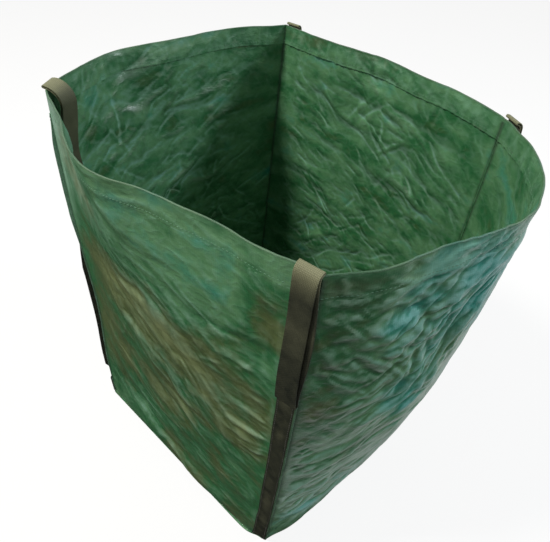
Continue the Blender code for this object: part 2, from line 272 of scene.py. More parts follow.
# %% Crumpled patches and single folds, in millimetres and degrees
# (distance, height, reach along, reach up, angle, facet length, facet width, depth)
PATCHES = {
    "front": (
        (212, 644, 82, 40, 5, 79, 14, 1.6),
        (120, 656, 51, 23, -24, 45, 11, 1.6),
        (200, 592, 79, 46, -11, 69, 22, 2.5),
        (156, 552, 55, 48, -33, 64, 16, 3.1),
        (300, 480, 75, 90, -52, 66, 32, 6.0),
        (260, 432, 90, 88, -15, 103, 32, 6.0),
        (168, 440, 81, 73, -23, 89, 31, 6.0),
        (376, 180, 90, 90, -33, 132, 32, 6.0),
        (84, 520, 47, 37, 7, 72, 15, 2.6),
        (76, 452, 51, 50, -14, 58, 16, 4.7),
        (156, 360, 65, 85, -50, 89, 22, 6.0),
        (56, 372, 43, 59, 19, 60, 13, 4.0),
        (268, 156, 90, 90, -18, 110, 32, 6.0),
        (144, 256, 70, 90, -24, 90, 32, 6.0),
        (76, 140, 64, 90, 9, 85, 32, 6.0),
        (192, 64, 84, 90, -3, 116, 32, 6.0),
    ),
    "right": (
        (416, 648, 42, 21, -23, 41, 12, 1.0),
        (344, 644, 47, 26, -1, 42, 14, 3.4),
        (284, 640, 58, 34, 12, 69, 16, 4.6),
        (392, 612, 43, 27, -12, 37, 13, 2.2),
        (328, 580, 50, 51, 26, 30, 18, 6.0),
        (272, 564, 46, 89, 65, 68, 16, 5.6),
        (360, 556, 52, 43, 3, 36, 17, 4.2),
        (424, 588, 36, 36, -42, 53, 12, 1.7),
        (396, 528, 49, 27, -42, 80, 14, 2.4),
        (300, 516, 40, 83, 79, 71, 17, 6.0),
        (332, 444, 58, 70, 30, 60, 22, 6.4),
        (424, 496, 41, 39, -37, 50, 14, 1.9),
        (404, 456, 61, 34, 9, 60, 17, 2.8),
        (436, 436, 38, 28, -38, 49, 13, 1.8),
        (360, 350, 90, 40, 6, 120, 22, 3.8),
        (430, 300, 50, 50, 14, 80, 18, 4.0),
        (460, 364, 23, 50, 12, 30, 13, 2.4),
        (470, 230, 12, 70, -34, 26, 15, 5.0),
        (445, 225, 22, 70, 36, 60, 17, 7.0),
        (388, 190, 77, 80, 38, 75, 24, 6.4),
    ),
    "back": ((200, 480, 160, 160, 20, 70, 24, 4.5), (260, 180, 160, 160, -35, 80, 28, 5.0)),
    "left": ((200, 480, 160, 160, -20, 70, 24, 4.5), (260, 180, 160, 160, 35, 80, 28, 5.0)),
}
# (distance, height, spread along, spread up, angle, angle spread, count, length, width, depth)
FOLDS = {
    "front": (
        (156, 552, 30, 25, -33, 8, 4, 90, 9, 1.5),
        (230, 440, 80, 60, -22, 22, 9, 100, 24, 2.0),
        (300, 330, 60, 90, -40, 22, 8, 110, 28, 2.4),
        (160, 350, 60, 70, -48, 22, 9, 90, 24, 2.2),
        (65, 380, 30, 60, 15, 16, 14, 55, 16, 1.6),
        (180, 180, 80, 90, -18, 22, 8, 110, 28, 3.0),
        (120, 600, 100, 30, -18, 10, 8, 80, 10, 0.9),
    ),
    "right": (
        (300, 620, 70, 22, 4, 8, 12, 90, 8, 1.3),
        (305, 622, 4, 4, 19, 2, 3, 150, 24, 3.2),
        (280, 596, 8, 6, 28, 3, 3, 120, 20, 2.6),
        (350, 640, 20, 4, 2, 3, 3, 110, 18, 2.0),
        (396, 528, 25, 14, -42, 6, 4, 110, 9, 1.8),
        (280, 540, 30, 60, 70, 10, 10, 80, 8, 1.6),
        (400, 440, 30, 30, 8, 14, 10, 60, 9, 1.4),
        (376, 324, 60, 60, 10, 10, 12, 110, 14, 2.2),
        (455, 320, 12, 70, 6, 14, 26, 32, 7, 1.6),
        (390, 220, 60, 60, 40, 10, 10, 90, 14, 2.0),
        (340, 600, 60, 40, -10, 40, 24, 34, 8, 1.5),
    ),
    "back": ((220, 330, 120, 170, 0, 60, 60, 80, 11, 1.8),),
    "left": ((220, 330, 120, 170, 0, 60, 60, 80, 11, 1.8),),
}

# %% [markdown]
# The facets of all patches are added up, with a plain crumple between them. Each single fold gets its own place, length
# and bend from a seeded random source, so the cloth is the same on every run.

# %% Facets and folds
# How much of the finer facets each wall has, and how strong its whole relief is.
FINE_SHARES, WALL_STRENGTHS = (0.20, 0.70, 0.50, 0.50), (0.62, 0.72, 0.8, 0.8)
# The plain crumple of the front wall and that of the others: amount, length and width of its broad and fine facets.
PLAIN_FACETS = ((2.4, 50, 62, 0.7, 20, 40), (1.0, 44, 24, 0.5, 17, 14))
PLAIN_WEIGHT, PLAIN_DEPTH, LEAST_WEIGHT = 0.30, 2.2, 0.6
NARROWEST_FOLD = 0.0055


def crumpled(wall, distance, height):
    """Height of the facets in millimetres: every patch adds its own, and a plain crumple fills the rest."""
    x, y = -distance * 1000, height * 1000
    broad, long, wide, fine, short, narrow = PLAIN_FACETS[min(wall, 1)]
    plain = broad * facets((x + 0.5 * y) / long, (y - 0.5 * x) / wide, 200 + wall)
    plain = plain + fine * facets(x / short, y / narrow, 210 + wall)
    total = PLAIN_WEIGHT * PLAIN_DEPTH * plain
    weights = np.full_like(x, PLAIN_WEIGHT**2)
    for number, (along, up, reach_along, reach_up, angle, length, width, depth) in enumerate(PATCHES[WALL_NAMES[wall]]):
        dx, dy = x + along, y - up
        weight = np.exp(-((dx / reach_along) ** 2) - (dy / reach_up) ** 2)
        if weight.max() < 0.01:
            continue
        seed = 220 + 20 * number + 300 * wall
        ahead, aside = turned(dx, dy, angle)
        aside = aside + 16 * field(x / 75, y / 75, seed + 9)
        finer = facets(ahead / length * 2.2, aside / width * 2.0, seed + 5)
        pattern = facets(ahead / length, aside / width, seed) + FINE_SHARES[wall] * finer
        total = total + weight * depth * pattern
        weights = weights + weight**2
    return total / np.maximum(np.sqrt(weights), LEAST_WEIGHT)


def single_folds(wall, distance, height):
    """Height in millimetres of a wall's single folds: each is a short curved ridge or furrow with a rounded top."""
    rise = np.zeros_like(distance)
    chance = np.random.default_rng(40 + wall)
    for along, up, spread_along, spread_up, angle, angle_spread, count, length, wide, depth in FOLDS[WALL_NAMES[wall]]:
        for _ in range(count):
            x0 = (along + spread_along * chance.normal()) / 1000
            y0 = (up + spread_up * chance.normal()) / 1000
            degrees = angle + angle_spread * chance.normal()
            half = length / 1000 * chance.uniform(0.25, 0.70)
            width = max(wide / 1000 * chance.uniform(0.45, 0.85), NARROWEST_FOLD)
            bend = chance.normal() * 3.0
            sign = 1 if chance.random() < 0.55 else -0.9
            amount = depth * chance.uniform(0.6, 1.4)
            dx, dy = -(distance - x0), height - y0
            near = (np.abs(dx) < half + 0.03) & (np.abs(dy) < half + 0.03)
            if not near.any():
                continue
            ahead, aside = turned(dx[near], dy[near], degrees)
            aside = aside + bend * ahead**2
            window = np.cos(np.clip(ahead / half, -1, 1) * np.pi / 2) ** 1.2
            rise[near] += sign * amount * np.clip(1 - np.abs(aside) / width, 0, 1) ** 1.2 * window
    return rise


# %% [markdown]
# The wide hollows come from use, and the hem, the straps and the seams follow them. The facets fade out at the corners,
# where two walls are sewn together, and under the webbing, which is stitched flat. Hollows, places of painted highlight
# and tones are all lists of soft spots, so one function reads them.

# %% Hollows and rim waves
# (wall, distance, height, reach along, reach up, outward push), all in millimetres
HOLLOWS = (
    (0, 385, 650, 45, 60, -3.0),
    (0, 300, 470, 60, 60, -2.5),
    (0, 150, 250, 80, 60, -2.5),
    (0, 170, 590, 120, 35, 1.5),
    (0, 165, 40, 85, 38, 8.0),
    (0, 330, 40, 100, 38, 8.0),
    (1, 250, 560, 60, 30, -2.0),
    (1, 330, 400, 60, 50, -3.0),
    (1, 270, 340, 70, 130, -3.0),
    (1, 285, 500, 70, 90, -3.0),
    (1, 390, 75, 60, 50, 8.5),
    (1, 340, 300, 40, 60, -2.5),
)

# How far the rim waves out of its even curve, every 20 mm from each wall's right-hand end, in millimetres.
RIM_WAVES = {
    "front": (
        0, 2.5, 5, 4.5, 2, 0, -1.5, -2.5, -3.5, -4.5, -3, 1, 5.5, 8, 7.5, 4, 0, -3, -5, -6, -4, -2.5, -1, 0,
    ),
    "right": (0, -3, -3, -2, -1.5, -1.5, -1.5, -1, -1, 0, 2, 3, 1.5, -0.5, -2, -2.5, -3, -2.5, 0.5, 4.5, 5.5, 4, 1),
    "back": (-2, -3.5, -5, -7, -8, -8, -8, -7, -4, 0, 1.5, -1, -3.5, -5.5, -6, -5, -3, -1, -0.5, -0.5, -0.5, -0.5),
    "left": (0, 2, 1.5, 0, 0.5, 3, 5.5, 7.5, 7, 2, -7, -13, -14, -12.5, -9, -4, 1, 4, 6.5, 7, 5, 1, -1.5, -3),
}
RIM_WAVE_REACH, RIM_WAVE_STEP = 0.150, 20
rim_places = np.arange(0, 500, 2)
rim_tables = []
for name in WALL_NAMES:
    fine = np.interp(rim_places, np.arange(len(RIM_WAVES[name])) * RIM_WAVE_STEP, RIM_WAVES[name])
    kernel = np.exp(-((np.arange(-12, 13) / 5.0) ** 2))
    rim_tables.append(np.convolve(np.pad(fine, 12, mode="edge"), kernel / kernel.sum(), mode="valid"))
# The walls lie this far apart on the flat cut, more than any is wide.
WALL_SHIFT = 0.60


def spots(rows, wall, distance, height):
    """The last number of each of a wall's soft spots, and its share at each place: 1 in the middle, then less."""
    x, y = distance * 1000, height * 1000
    for which, along, up, reach_along, reach_up, amount in rows:
        if which == wall:
            yield amount, np.exp(-(((x - along) / reach_along) ** 2) - ((y - up) / reach_up) ** 2)


def hollows(wall, distance, height):
    """Wide movement of the cloth, in metres outward."""
    length = length_at(wall, height)
    x, y = (WALL_SHIFT * wall - distance) * 1000, height * 1000
    push = 2.4 * field(x / 95, y / 120, 11 + wall) + 1.3 * field(x / 48, y / 60, 21 + wall)
    push = push * soft_step(y, 0, 60) * (1 - 0.55 * soft_step(y, 560, 650))
    for amount, share in spots(HOLLOWS, wall, distance, height):
        push = push + amount * share
    wave = np.interp(distance * length_at(wall, BAG_HEIGHT) / length * 1000, rim_places, rim_tables[wall])
    push = push + wave * soft_step(height, BAG_HEIGHT - RIM_WAVE_REACH, BAG_HEIGHT)
    corner = soft_step(distance, 0, 0.04) * soft_step(length - distance, 0, 0.04)
    return push / 1000 * corner * soft_step(y, 0, 14)


def creases(wall, distance, height):
    """Fine relief of the cloth, in metres outward."""
    length = length_at(wall, height)
    x, y = (WALL_SHIFT * wall - distance) * 1000, height * 1000
    strength = WALL_STRENGTHS[wall] * np.clip(1.0 + 0.8 * field(x / 110, y / 110, 33 + wall), 0.4, 1.4)
    if wall == 0:
        strength = strength * (1 - 0.75 * soft_step(distance, 0.32, 0.42) * soft_step(height, 0.10, 0.30))
        strength = strength * (1 - 0.3 * (1 - soft_step(distance, 0.12, 0.22)) * (1 - soft_step(height, 0.46, 0.56)))
    rise = (crumpled(wall, distance, height) + single_folds(wall, distance, height)) * strength
    under_strap = 1 - soft_step(distance, STRAP_FROM_CORNER + STRAP_WIDTH - 0.002, 0.043)
    corner = soft_step(length - distance, 0.001, 0.02)
    return rise / 1000 * (1 - 0.9 * under_strap) * corner


# %% [markdown]
# The coat turns pale where it is bent, and light and shade are painted into the same paleness. Most of it is worked out
# from the creases: crests are pale, partly from the whitened coat and partly as painted highlight; flanks that face up
# get a painted highlight, and furrows and flanks that face down get painted shade. A list adds places of painted
# highlight and reflection that no crease explains, broken up into streaks, and the corner lines get painted shade.

# %% Paleness
# The green and the painted highlights change in long streaks that follow the folds, at these angles and by these
# amounts; in the green the streaks are partly painted shade and sheen of shallow folds.
STREAK_ANGLES, PAINTED_LIGHT_STREAKS, TONE_STREAKS = (-28, 14, 0, 0), (0.6, 1.2, 1.2, 1.2), (0.15, 0.30, 0.30, 0.30)
# (wall, distance, height, reach along, reach up, amount), in millimetres
# Places of painted highlight and reflection, where the cloth mirrors its bright surroundings; the few negative amounts
# are painted darker.
PAINTED_LIGHT_PLACES = (
    (0, 445, 640, 40, 60, 0.95),
    (0, 456, 580, 22, 95, 1.20),
    (0, 350, 655, 60, 12, 0.50),
    (0, 380, 600, 60, 50, 0.42),
    (0, 225, 470, 80, 50, 0.44),
    (0, 215, 340, 80, 60, 0.24),
    (0, 95, 400, 60, 60, 0.24),
    (0, 12, 70, 14, 30, 0.55),
    (1, 462, 300, 26, 55, 0.60),
    (1, 325, 655, 40, 20, 0.90),
    (1, 435, 640, 26, 18, 0.40),
    (0, 345, 595, 50, 40, 0.40),
    (1, 400, 300, 90, 60, 0.22),
    (1, 285, 640, 45, 30, 0.60),
    (1, 392, 648, 40, 22, -0.10),
    (1, 455, 620, 20, 60, -0.10),
    (1, 275, 520, 40, 110, 0.12),
)
# Painted shade in the inner corner where two walls meet: how dark, and how wide in millimetres.
CORNER_PAINTED_SHADE, CORNER_SHADE_WIDTH = 2.2, 3.5
# Painted light on the creases: how much paler flanks that face up get, and darker those that face down, and the bend
# that turns a crest pale or a furrow dark.
FLANK_PAINTED_LIGHT, CREST_BEND = 1.5, 105


def streaks(wall, x, y, length, width, seed):
    """Random field drawn out along the wall's folds; x is the distance and y the height, in millimetres."""
    ahead, aside = turned(-x, y, STREAK_ANGLES[wall])
    return field(ahead / length, (aside + 14 * field(x / 80, y / 80, 331 + wall)) / width, seed + wall)


def painted_light_at(wall, distance, height):
    """Painted highlight and reflection of the listed places, and painted shade along the line where two walls meet at a
    corner.
    """
    x, y = distance * 1000, height * 1000
    pale_and_sheen = np.zeros_like(distance)
    for amount, share in spots(PAINTED_LIGHT_PLACES, wall, distance, height):
        pale_and_sheen = pale_and_sheen + amount * share
    streaked = PAINTED_LIGHT_STREAKS[wall] * streaks(wall, x, y, 80, 24, 341)
    pale_and_sheen = pale_and_sheen * (1 + 0.8 * field(x / 10, y / 28, 301 + wall) + streaked)
    from_corner = np.minimum(distance, length_at(wall, height) - distance) * 1000
    return pale_and_sheen - CORNER_PAINTED_SHADE * np.exp(-((from_corner / CORNER_SHADE_WIDTH) ** 2))


def paleness_of(rise, distance, height):
    """Paleness of a grid of heights: up to 1 on crests, partly whitened coat and partly painted highlight, and on
    flanks that face up, painted highlight; down to -1 in furrows and on flanks that face down, painted shade.
    """
    steps_along = np.abs(np.gradient(distance, axis=1)) + 1e-9
    steps_up = np.abs(np.gradient(height, axis=0)) + 1e-9
    along, up = np.gradient(rise, axis=1) / steps_along, np.gradient(rise, axis=0) / steps_up
    bend = np.gradient(along, axis=1) / steps_along + np.gradient(up, axis=0) / steps_up
    facing_up = -up * np.sign(height[-1:] - height[:1])
    return np.clip(facing_up * FLANK_PAINTED_LIGHT - bend / CREST_BEND, -1, 1)


def cloth_at(wall, distance, height, outward=0.0, creased=True):
    """Points of the cloth's outer face, moved out along its normal, and their paleness where they form a grid."""
    distance, height = np.broadcast_arrays(np.asarray(distance, float), np.asarray(height, float))
    rise, pale = hollows(wall, distance, height), np.zeros_like(distance)
    if creased:
        relief = creases(wall, distance, height)
        if distance.ndim == 2:
            pale = paleness_of(relief, distance, height) + painted_light_at(wall, distance, height)
        rise = rise + relief
    points = smooth_shell(wall, distance, height)
    return points + shell_normal(wall, distance, height) * (rise + outward)[..., None], pale


# %% [markdown]
# ## Colours and a way to add nodes
#
# Colours are written as sRGB hex values, as a colour picker shows them, and one function turns them to the linear
# numbers that Blender works with. One more function adds a node with its settings and its links.

# %% Colour and node helpers
def hex_colour(value):
    parts = [int(value[n:n + 2], 16) / 255 for n in (1, 3, 5)]
    return (*(c / 12.92 if c <= 0.04045 else ((c + 0.055) / 1.055) ** 2.4 for c in parts), 1)


def feed(node, inputs):
    """Gives inputs a value or the socket that feeds them, either in order or by their names or numbers."""
    for name, value in inputs.items() if isinstance(inputs, dict) else enumerate(inputs):
        if isinstance(value, bpy.types.NodeSocket):
            node.id_data.links.new(value, node.inputs[name])
        else:
            node.inputs[name].default_value = value


def add(owner, kind, inputs=(), output=0, **settings):
    """Adds a shader node to a material or the world, sets and feeds it, and returns the output that is asked for."""
    node = owner.node_tree.nodes.new("ShaderNode" + kind)
    for name, value in settings.items():
        setattr(node, name, value)
    feed(node, inputs)
    return node.outputs[output]


def new_material(name):
    material = bpy.data.materials.new(name)
    material.use_nodes = True
    return material, material.node_tree.nodes["Principled BSDF"]


# %% [markdown]
# ## The cloth: coated woven polyethylene
#
# The real cloth is woven from flat green polyethylene tapes, 2.5 mm wide, and coated with a thin clear film of the same
# plastic. The film gives a half gloss that catches every facet, and a sharp fold turns pale because the film whitens
# where it is bent. Four things make that here: a slow drift of the green between olive and teal, the paleness that each
# vertex carries, which also holds painted highlight and painted shade, the weave, and a bump of small crumples that are
# too fine for the mesh.
# Those crumples are 5 to 14 mm across and the tapes 2.5 mm, their real sizes, read from the UV map in metres.

# %% Woven tape pattern
# A Wave texture of scale 1 repeats after this many metres; a Mix node's colours are its sockets 6 and 7, and output 2.
WAVE_PERIOD = 2 * math.pi / 20


def tape_weave(material, place, pitch):
    """Height of a plain weave of flat tapes: over and under change places like a chessboard."""
    wave = {"Vector": place, "Scale": WAVE_PERIOD / pitch}
    over, under = (add(material, "TexWave", wave, "Fac", bands_direction=way) for way in "XY")
    chess = add(material, "TexChecker", {"Vector": place, "Scale": 1 / pitch}, "Fac")
    difference = add(material, "Math", (over, under), operation="SUBTRACT")
    return add(material, "Math", (difference, chess, under), operation="MULTIPLY_ADD")


def small_crumple(material, place, size, turn, stretch):
    """Soft noise folded at its middle: broken crests with smooth flanks, about the given size across."""
    slanted = add(material, "Mapping", {"Vector": place, "Rotation": (0, 0, turn), "Scale": (1, stretch, 1)})
    settings = {"Vector": slanted, "Scale": 0.6 / size, "Detail": 1.5, "Roughness": 0.5, "Distortion": 0.4}
    noise = add(material, "TexNoise", settings, "Fac")
    centred = add(material, "Math", (noise, 4.0, -2.0), operation="MULTIPLY_ADD")
    return add(material, "Math", (centred,), operation="ABSOLUTE")


# %% [markdown]
# The material puts those together. The ramp turns a slow drift into five greens. Pale crests, partly whitened coat and
# partly painted highlight, are mixed over it, furrows and every other place of negative paleness get painted shade, and
# the bump has two levels: the crumples, and the tapes on top of them.

# %% Cloth material
TAPE_WIDTH, LARGE_CRUMPLE, SMALL_CRUMPLE = 0.0025, 0.014, 0.007
RAMP_PLACES = (0.24, 0.44, 0.66)


def coated_cloth(name, greens, pale_olive, pale_teal):
    material, shader = new_material(name)
    place = add(material, "UVMap", output="UV", uv_map="flat_cut")
    tone, paleness = (add(material, "Attribute", (), "Fac", attribute_name=kind) for kind in ("tone", "paleness"))

    cloud = add(material, "TexNoise", {"Vector": place, "Scale": 26, "Detail": 5, "Roughness": 0.62}, "Fac")
    centred = add(material, "Math", (cloud, 0.5), operation="SUBTRACT")
    drift = add(material, "Math", (centred, 0.7, tone), operation="MULTIPLY_ADD")
    green = add(material, "ValToRGB", (drift,))
    stops = green.node.color_ramp.elements
    stops[0].position, stops[0].color = 0.0, hex_colour(greens[0])
    stops[1].position, stops[1].color = 1.0, hex_colour(greens[4])
    for place_on_ramp, colour in zip(RAMP_PLACES, greens[1:4]):
        stops.new(place_on_ramp).color = hex_colour(colour)

    large = small_crumple(material, place, LARGE_CRUMPLE, 0.7, 1.5)
    small = small_crumple(material, place, SMALL_CRUMPLE, -0.6, 1.2)
    weave = tape_weave(material, place, TAPE_WIDTH)

    crest = add(material, "Math", (large, 3.0), operation="MULTIPLY")
    crest = add(material, "Math", (1.0, crest), operation="SUBTRACT")
    crest = add(material, "Math", (crest, 0.0), operation="MAXIMUM")
    crest = add(material, "Math", (crest, 2.0), operation="POWER")
    # Pale crests of the fine crumples, partly whitened coat and partly painted highlight.
    pale_and_sheen = add(material, "Math", (crest, 0.10), operation="MULTIPLY")
    pale = add(material, "Math", (paleness, 0.0), operation="MAXIMUM")
    furrow = add(material, "Math", (paleness, 0.0), operation="MINIMUM")
    whitening_and_highlight = add(material, "Math", (pale, 0.60, pale_and_sheen), operation="MULTIPLY_ADD")
    whitening_and_highlight = add(material, "Math", (whitening_and_highlight, 0.7), operation="MINIMUM")
    # Painted shade: negative paleness darkens furrows, flanks that face down, the corner lines, the rim fold and the
    # shaded sewn edges.
    painted_shade = add(material, "Math", (furrow, 0.36, 1.0), operation="MULTIPLY_ADD")
    chalk_and_highlight_colour = add(
        material, "Mix", {0: drift, 6: hex_colour(pale_olive), 7: hex_colour(pale_teal)}, 2, data_type="RGBA",
    )
    coloured = add(material, "Mix", {0: whitening_and_highlight, 6: green, 7: chalk_and_highlight_colour}, 2, data_type="RGBA")
    tapes = add(material, "Math", (weave, 0.12, 0.90), operation="MULTIPLY_ADD")
    tapes = add(material, "Math", (tapes, painted_shade), operation="MULTIPLY")
    shaded = add(material, "Mix", {0: 1.0, 6: coloured, 7: tapes}, 2, data_type="RGBA", blend_type="MULTIPLY")

    roughness = add(material, "Math", (cloud, 0.22, 0.22), operation="MULTIPLY_ADD")
    roughness = add(material, "Math", (furrow, -0.16, roughness), operation="MULTIPLY_ADD")

    heights = add(material, "Math", (large, -1.0), operation="MULTIPLY")
    heights = add(material, "Math", (small, -0.45, heights), operation="MULTIPLY_ADD")
    creased = add(material, "Bump", {"Height": heights, "Distance": 0.0010, "Strength": 0.4})
    woven = add(material, "Bump", {"Height": weave, "Distance": 0.00006, "Strength": 0.8, "Normal": creased})
    feed(shader, {"Base Color": shaded, "Roughness": roughness, "IOR": 1.51, "Normal": woven})
    return material


# Five greens from olive through dark green to teal, then the two pale ones of the whitened crests and the painted
# highlights.
wall_greens = ("#606C44", "#485934", "#28623A", "#57845C", "#148070")
hem_greens = ("#646F44", "#4A5D3E", "#336843", "#5A865E", "#207A6E")
wall_cloth = coated_cloth("coated_woven_polyethylene", wall_greens, "#919F76", "#7EBAB4")
hem_cloth = coated_cloth("coated_woven_polyethylene_hem", hem_greens, "#8E9A78", "#6CAE9E")
print("cloth materials:", wall_cloth.name, hem_cloth.name)

# %% [markdown]
# ## The webbing: black polypropylene
#
# The webbing is woven from bundles of black polypropylene yarn. It is matt, faintly brown, and greyer where it is bent
# over and the light runs along the yarns; that grey is painted on as sheen. Its ribs are 1.6 mm apart on the real
# strip.

# %% Webbing and thread materials
WEBBING_RIB, THREAD_TWIST = 0.0016, 0.0005


def woven_webbing(name, dark, pale_and_sheen):
    material, shader = new_material(name)
    place = add(material, "UVMap", output="UV", uv_map="flat_cut")
    # The paleness attribute is painted sheen: loops and straps turn greyer where they bend over or lift.
    bend = add(material, "Attribute", output="Fac", attribute_name="paleness")
    cloud = add(material, "TexNoise", {"Vector": place, "Scale": 60, "Detail": 4, "Roughness": 0.65}, "Fac")
    weave = tape_weave(material, place, WEBBING_RIB)
    wear_and_sheen = add(material, "Math", (cloud, 0.34, -0.12), operation="MULTIPLY_ADD")
    wear_and_sheen = add(material, "Math", (wear_and_sheen, bend), operation="ADD")
    coloured = add(material, "Mix", {0: wear_and_sheen, 6: hex_colour(dark), 7: hex_colour(pale_and_sheen)}, 2, data_type="RGBA")
    ribs = add(material, "Math", (weave, 0.45, 0.65), operation="MULTIPLY_ADD")
    shaded = add(material, "Mix", {0: 1.0, 6: coloured, 7: ribs}, 2, data_type="RGBA", blend_type="MULTIPLY")
    roughness = add(material, "Math", (cloud, 0.2, 0.52), operation="MULTIPLY_ADD")
    yarn = add(material, "Bump", {"Height": weave, "Distance": 0.0003, "Strength": 0.7})
    feed(shader, {
        "Base Color": shaded, "Roughness": roughness, "IOR": 1.49, "Specular IOR Level": 0.25, "Normal": yarn,
    })
    return material


def sewing_thread(name, dark, light):
    """Twisted polyester thread: the twist shows as fine slanting lines, 0.5 mm apart."""
    material, shader = new_material(name)
    place = add(material, "TexCoord", output="Object")
    wave = {"Vector": place, "Scale": WAVE_PERIOD / THREAD_TWIST, "Distortion": 0.6}
    twist = add(material, "TexWave", wave, "Fac", bands_direction="DIAGONAL")
    coloured = add(material, "Mix", {0: twist, 6: hex_colour(dark), 7: hex_colour(light)}, 2, data_type="RGBA")
    strand = add(material, "Bump", {"Height": twist, "Distance": 0.0001, "Strength": 0.6})
    feed(shader, {"Base Color": coloured, "Roughness": 0.55, "Sheen Weight": 0.2, "Normal": strand})
    return material


webbing = woven_webbing("black_polypropylene_webbing", "#12160B", "#7A7B60")
black_thread = sewing_thread("black_polyester_thread", "#151513", "#34332F")
green_thread = sewing_thread("green_polyester_thread", "#2C5A40", "#5C8A6C")
print("webbing and threads:", webbing.name, black_thread.name, green_thread.name)

# %% [markdown]
# ## Laying cloth
#
# A flat grid is added as a primitive, and its vertices are laid on rows of points, as one drapes a panel over a form.
# The UV map keeps each vertex's place on the flat cut, in metres, so the weave runs true whatever the cloth does.
# Solidify then gives the sheet its thickness. Before every operator all is deselected, because an operator acts on
# whatever is selected.

# %% Sheet helpers
SMOOTH_BELOW = math.radians(50)
# Width of the small bevel on the edges of webbing and seams, which are folded or woven shut, not cut sharp.
EDGE_BEVEL = 0.0004


def pick(piece):
    bpy.ops.object.select_all(action="DESELECT")
    piece.select_set(True)
    bpy.context.view_layer.objects.active = piece


def lay_grid(name, rows, flat, paleness=None, tone=None):
    """A grid primitive laid on rows of points. The rows run up, and their points run to the right, from outside."""
    high, wide = rows.shape[:2]
    bpy.ops.object.select_all(action="DESELECT")
    bpy.ops.mesh.primitive_grid_add(x_subdivisions=wide - 1, y_subdivisions=high - 1, size=1)
    piece = bpy.context.object
    piece.name = piece.data.name = name
    piece.data.vertices.foreach_set("co", np.ascontiguousarray(rows, np.float32).ravel())
    layer = piece.data.uv_layers[0]
    layer.name = "flat_cut"
    corners = np.empty(len(piece.data.loops), np.int32)
    piece.data.loops.foreach_get("vertex_index", corners)
    layer.data.foreach_set("uv", np.ascontiguousarray(flat.reshape(-1, 2)[corners], np.float32).ravel())
    for kind, values in (("paleness", paleness), ("tone", tone)):
        if values is not None:
            layer = piece.data.attributes.new(kind, "FLOAT", "POINT")
            layer.data.foreach_set("value", np.ascontiguousarray(values, np.float32).ravel())
    piece.data.update()
    return piece


def close_up(piece):
    """Joins the first and last rows and columns of a closed sheet, and turns its faces outward."""
    pick(piece)
    bpy.ops.object.mode_set(mode="EDIT")
    bpy.ops.mesh.select_all(action="SELECT")
    bpy.ops.mesh.remove_doubles(threshold=0.00002)
    bpy.ops.mesh.normals_make_consistent(inside=False)
    bpy.ops.object.mode_set(mode="OBJECT")


def paint(piece, material):
    piece.data.materials.clear()
    piece.data.materials.append(material)


def finish_sheet(piece, material, thickness, side, bevelled=False):
    """Solidify, with a small bevel on the edges of webbing, then smooth shading and the material."""
    pick(piece)
    bpy.ops.object.modifier_add(type="SOLIDIFY")
    solid = piece.modifiers[-1]
    solid.thickness, solid.offset = thickness, side
    if bevelled:
        bpy.ops.object.modifier_add(type="BEVEL")
        bevel = piece.modifiers[-1]
        bevel.width, bevel.segments = EDGE_BEVEL, 2
        bevel.limit_method, bevel.angle_limit = "ANGLE", math.radians(60)
    for modifier in list(piece.modifiers):
        bpy.ops.object.modifier_apply(modifier=modifier.name)
    bpy.ops.object.shade_smooth_by_angle(angle=SMOOTH_BELOW)
    paint(piece, material)


# %% [markdown]
# ## Tone of the cloth
#
# The green isn't even. The upper right wall leans to teal, the lower front to olive, and the corner beside the front
# loop is darker and more olive. Partly that is the cloth's own tone and partly painted light: the teal is partly a
# painted reflection of the sky, the olive partly a painted reflection of the ground, and the darker corner is painted
# shade. A few wide soft patches, given like the hollows, carry that, so that it follows the cloth from every side.

# %% Tone patches
# (wall, distance, height, reach along, reach up, tone), in millimetres; tone 0 is olive, 0.4 dark green and 1 teal
TONES = (
    (0, 230, 610, 300, 80, 0.66),
    (0, 400, 600, 60, 60, 0.36),
    (0, 345, 595, 50, 40, 0.32),
    (0, 330, 430, 90, 80, 0.10),
    (0, 170, 430, 90, 60, 0.08),
    (0, 45, 575, 34, 60, 0.30),
    (0, 70, 510, 45, 35, 0.45),
    (0, 80, 360, 60, 90, 0.20),
    (0, 400, 250, 80, 120, 0.22),
    (0, 220, 250, 100, 80, 0.24),
    (0, 90, 130, 90, 80, 0.42),
    (0, 200, 60, 90, 60, 0.30),
    (0, 70, 60, 60, 60, 0.34),
    (1, 300, 590, 150, 90, 0.95),
    (1, 430, 590, 45, 90, 0.38),
    (1, 392, 648, 40, 22, 0.42),
    (1, 445, 475, 36, 60, 0.60),
    (1, 400, 480, 50, 50, 0.38),
    (1, 330, 430, 60, 50, 0.75),
    (1, 390, 330, 60, 60, 0.50),
    (1, 455, 300, 25, 80, 0.44),
    (1, 380, 180, 80, 90, 0.72),
    (1, 150, 350, 120, 200, 0.80),
)
PLAIN_TONE = 0.55


def tone_at(wall, distance, height):
    x, y = distance * 1000, height * 1000
    tone = np.full_like(x, PLAIN_TONE)
    for target, share in spots(TONES, wall, distance, height):
        tone = tone + (target - tone) * np.clip(1.3 * share, 0, 1)
    streaked = 0.18 * field(x / 70, y / 70, 71 + wall) + TONE_STREAKS[wall] * streaks(wall, x, y, 130, 26, 311)
    far_end = soft_step(distance, 0.34, 0.42) * (wall == 0)
    return np.clip(tone + streaked * (1 - 0.7 * far_end), 0, 1)


# %% [markdown]
# ## The four walls
#
# Each wall is one panel of cloth from the floor to the hem. The grid is under 3 mm fine, close enough for every facet
# of the lists above. Neighbouring walls meet at the corner line, where the sewn edge hides their ends.

# %% Walls
CLOTH_THICKNESS, GRID_STEP, WALL_EDGE_GAP = 0.0012, 0.0027, 0.0006


def flat_x(wall, distance):
    """Where a distance along a wall lies on the flat cut, which has the walls side by side."""
    return WALL_SHIFT * (wall + 1) - distance


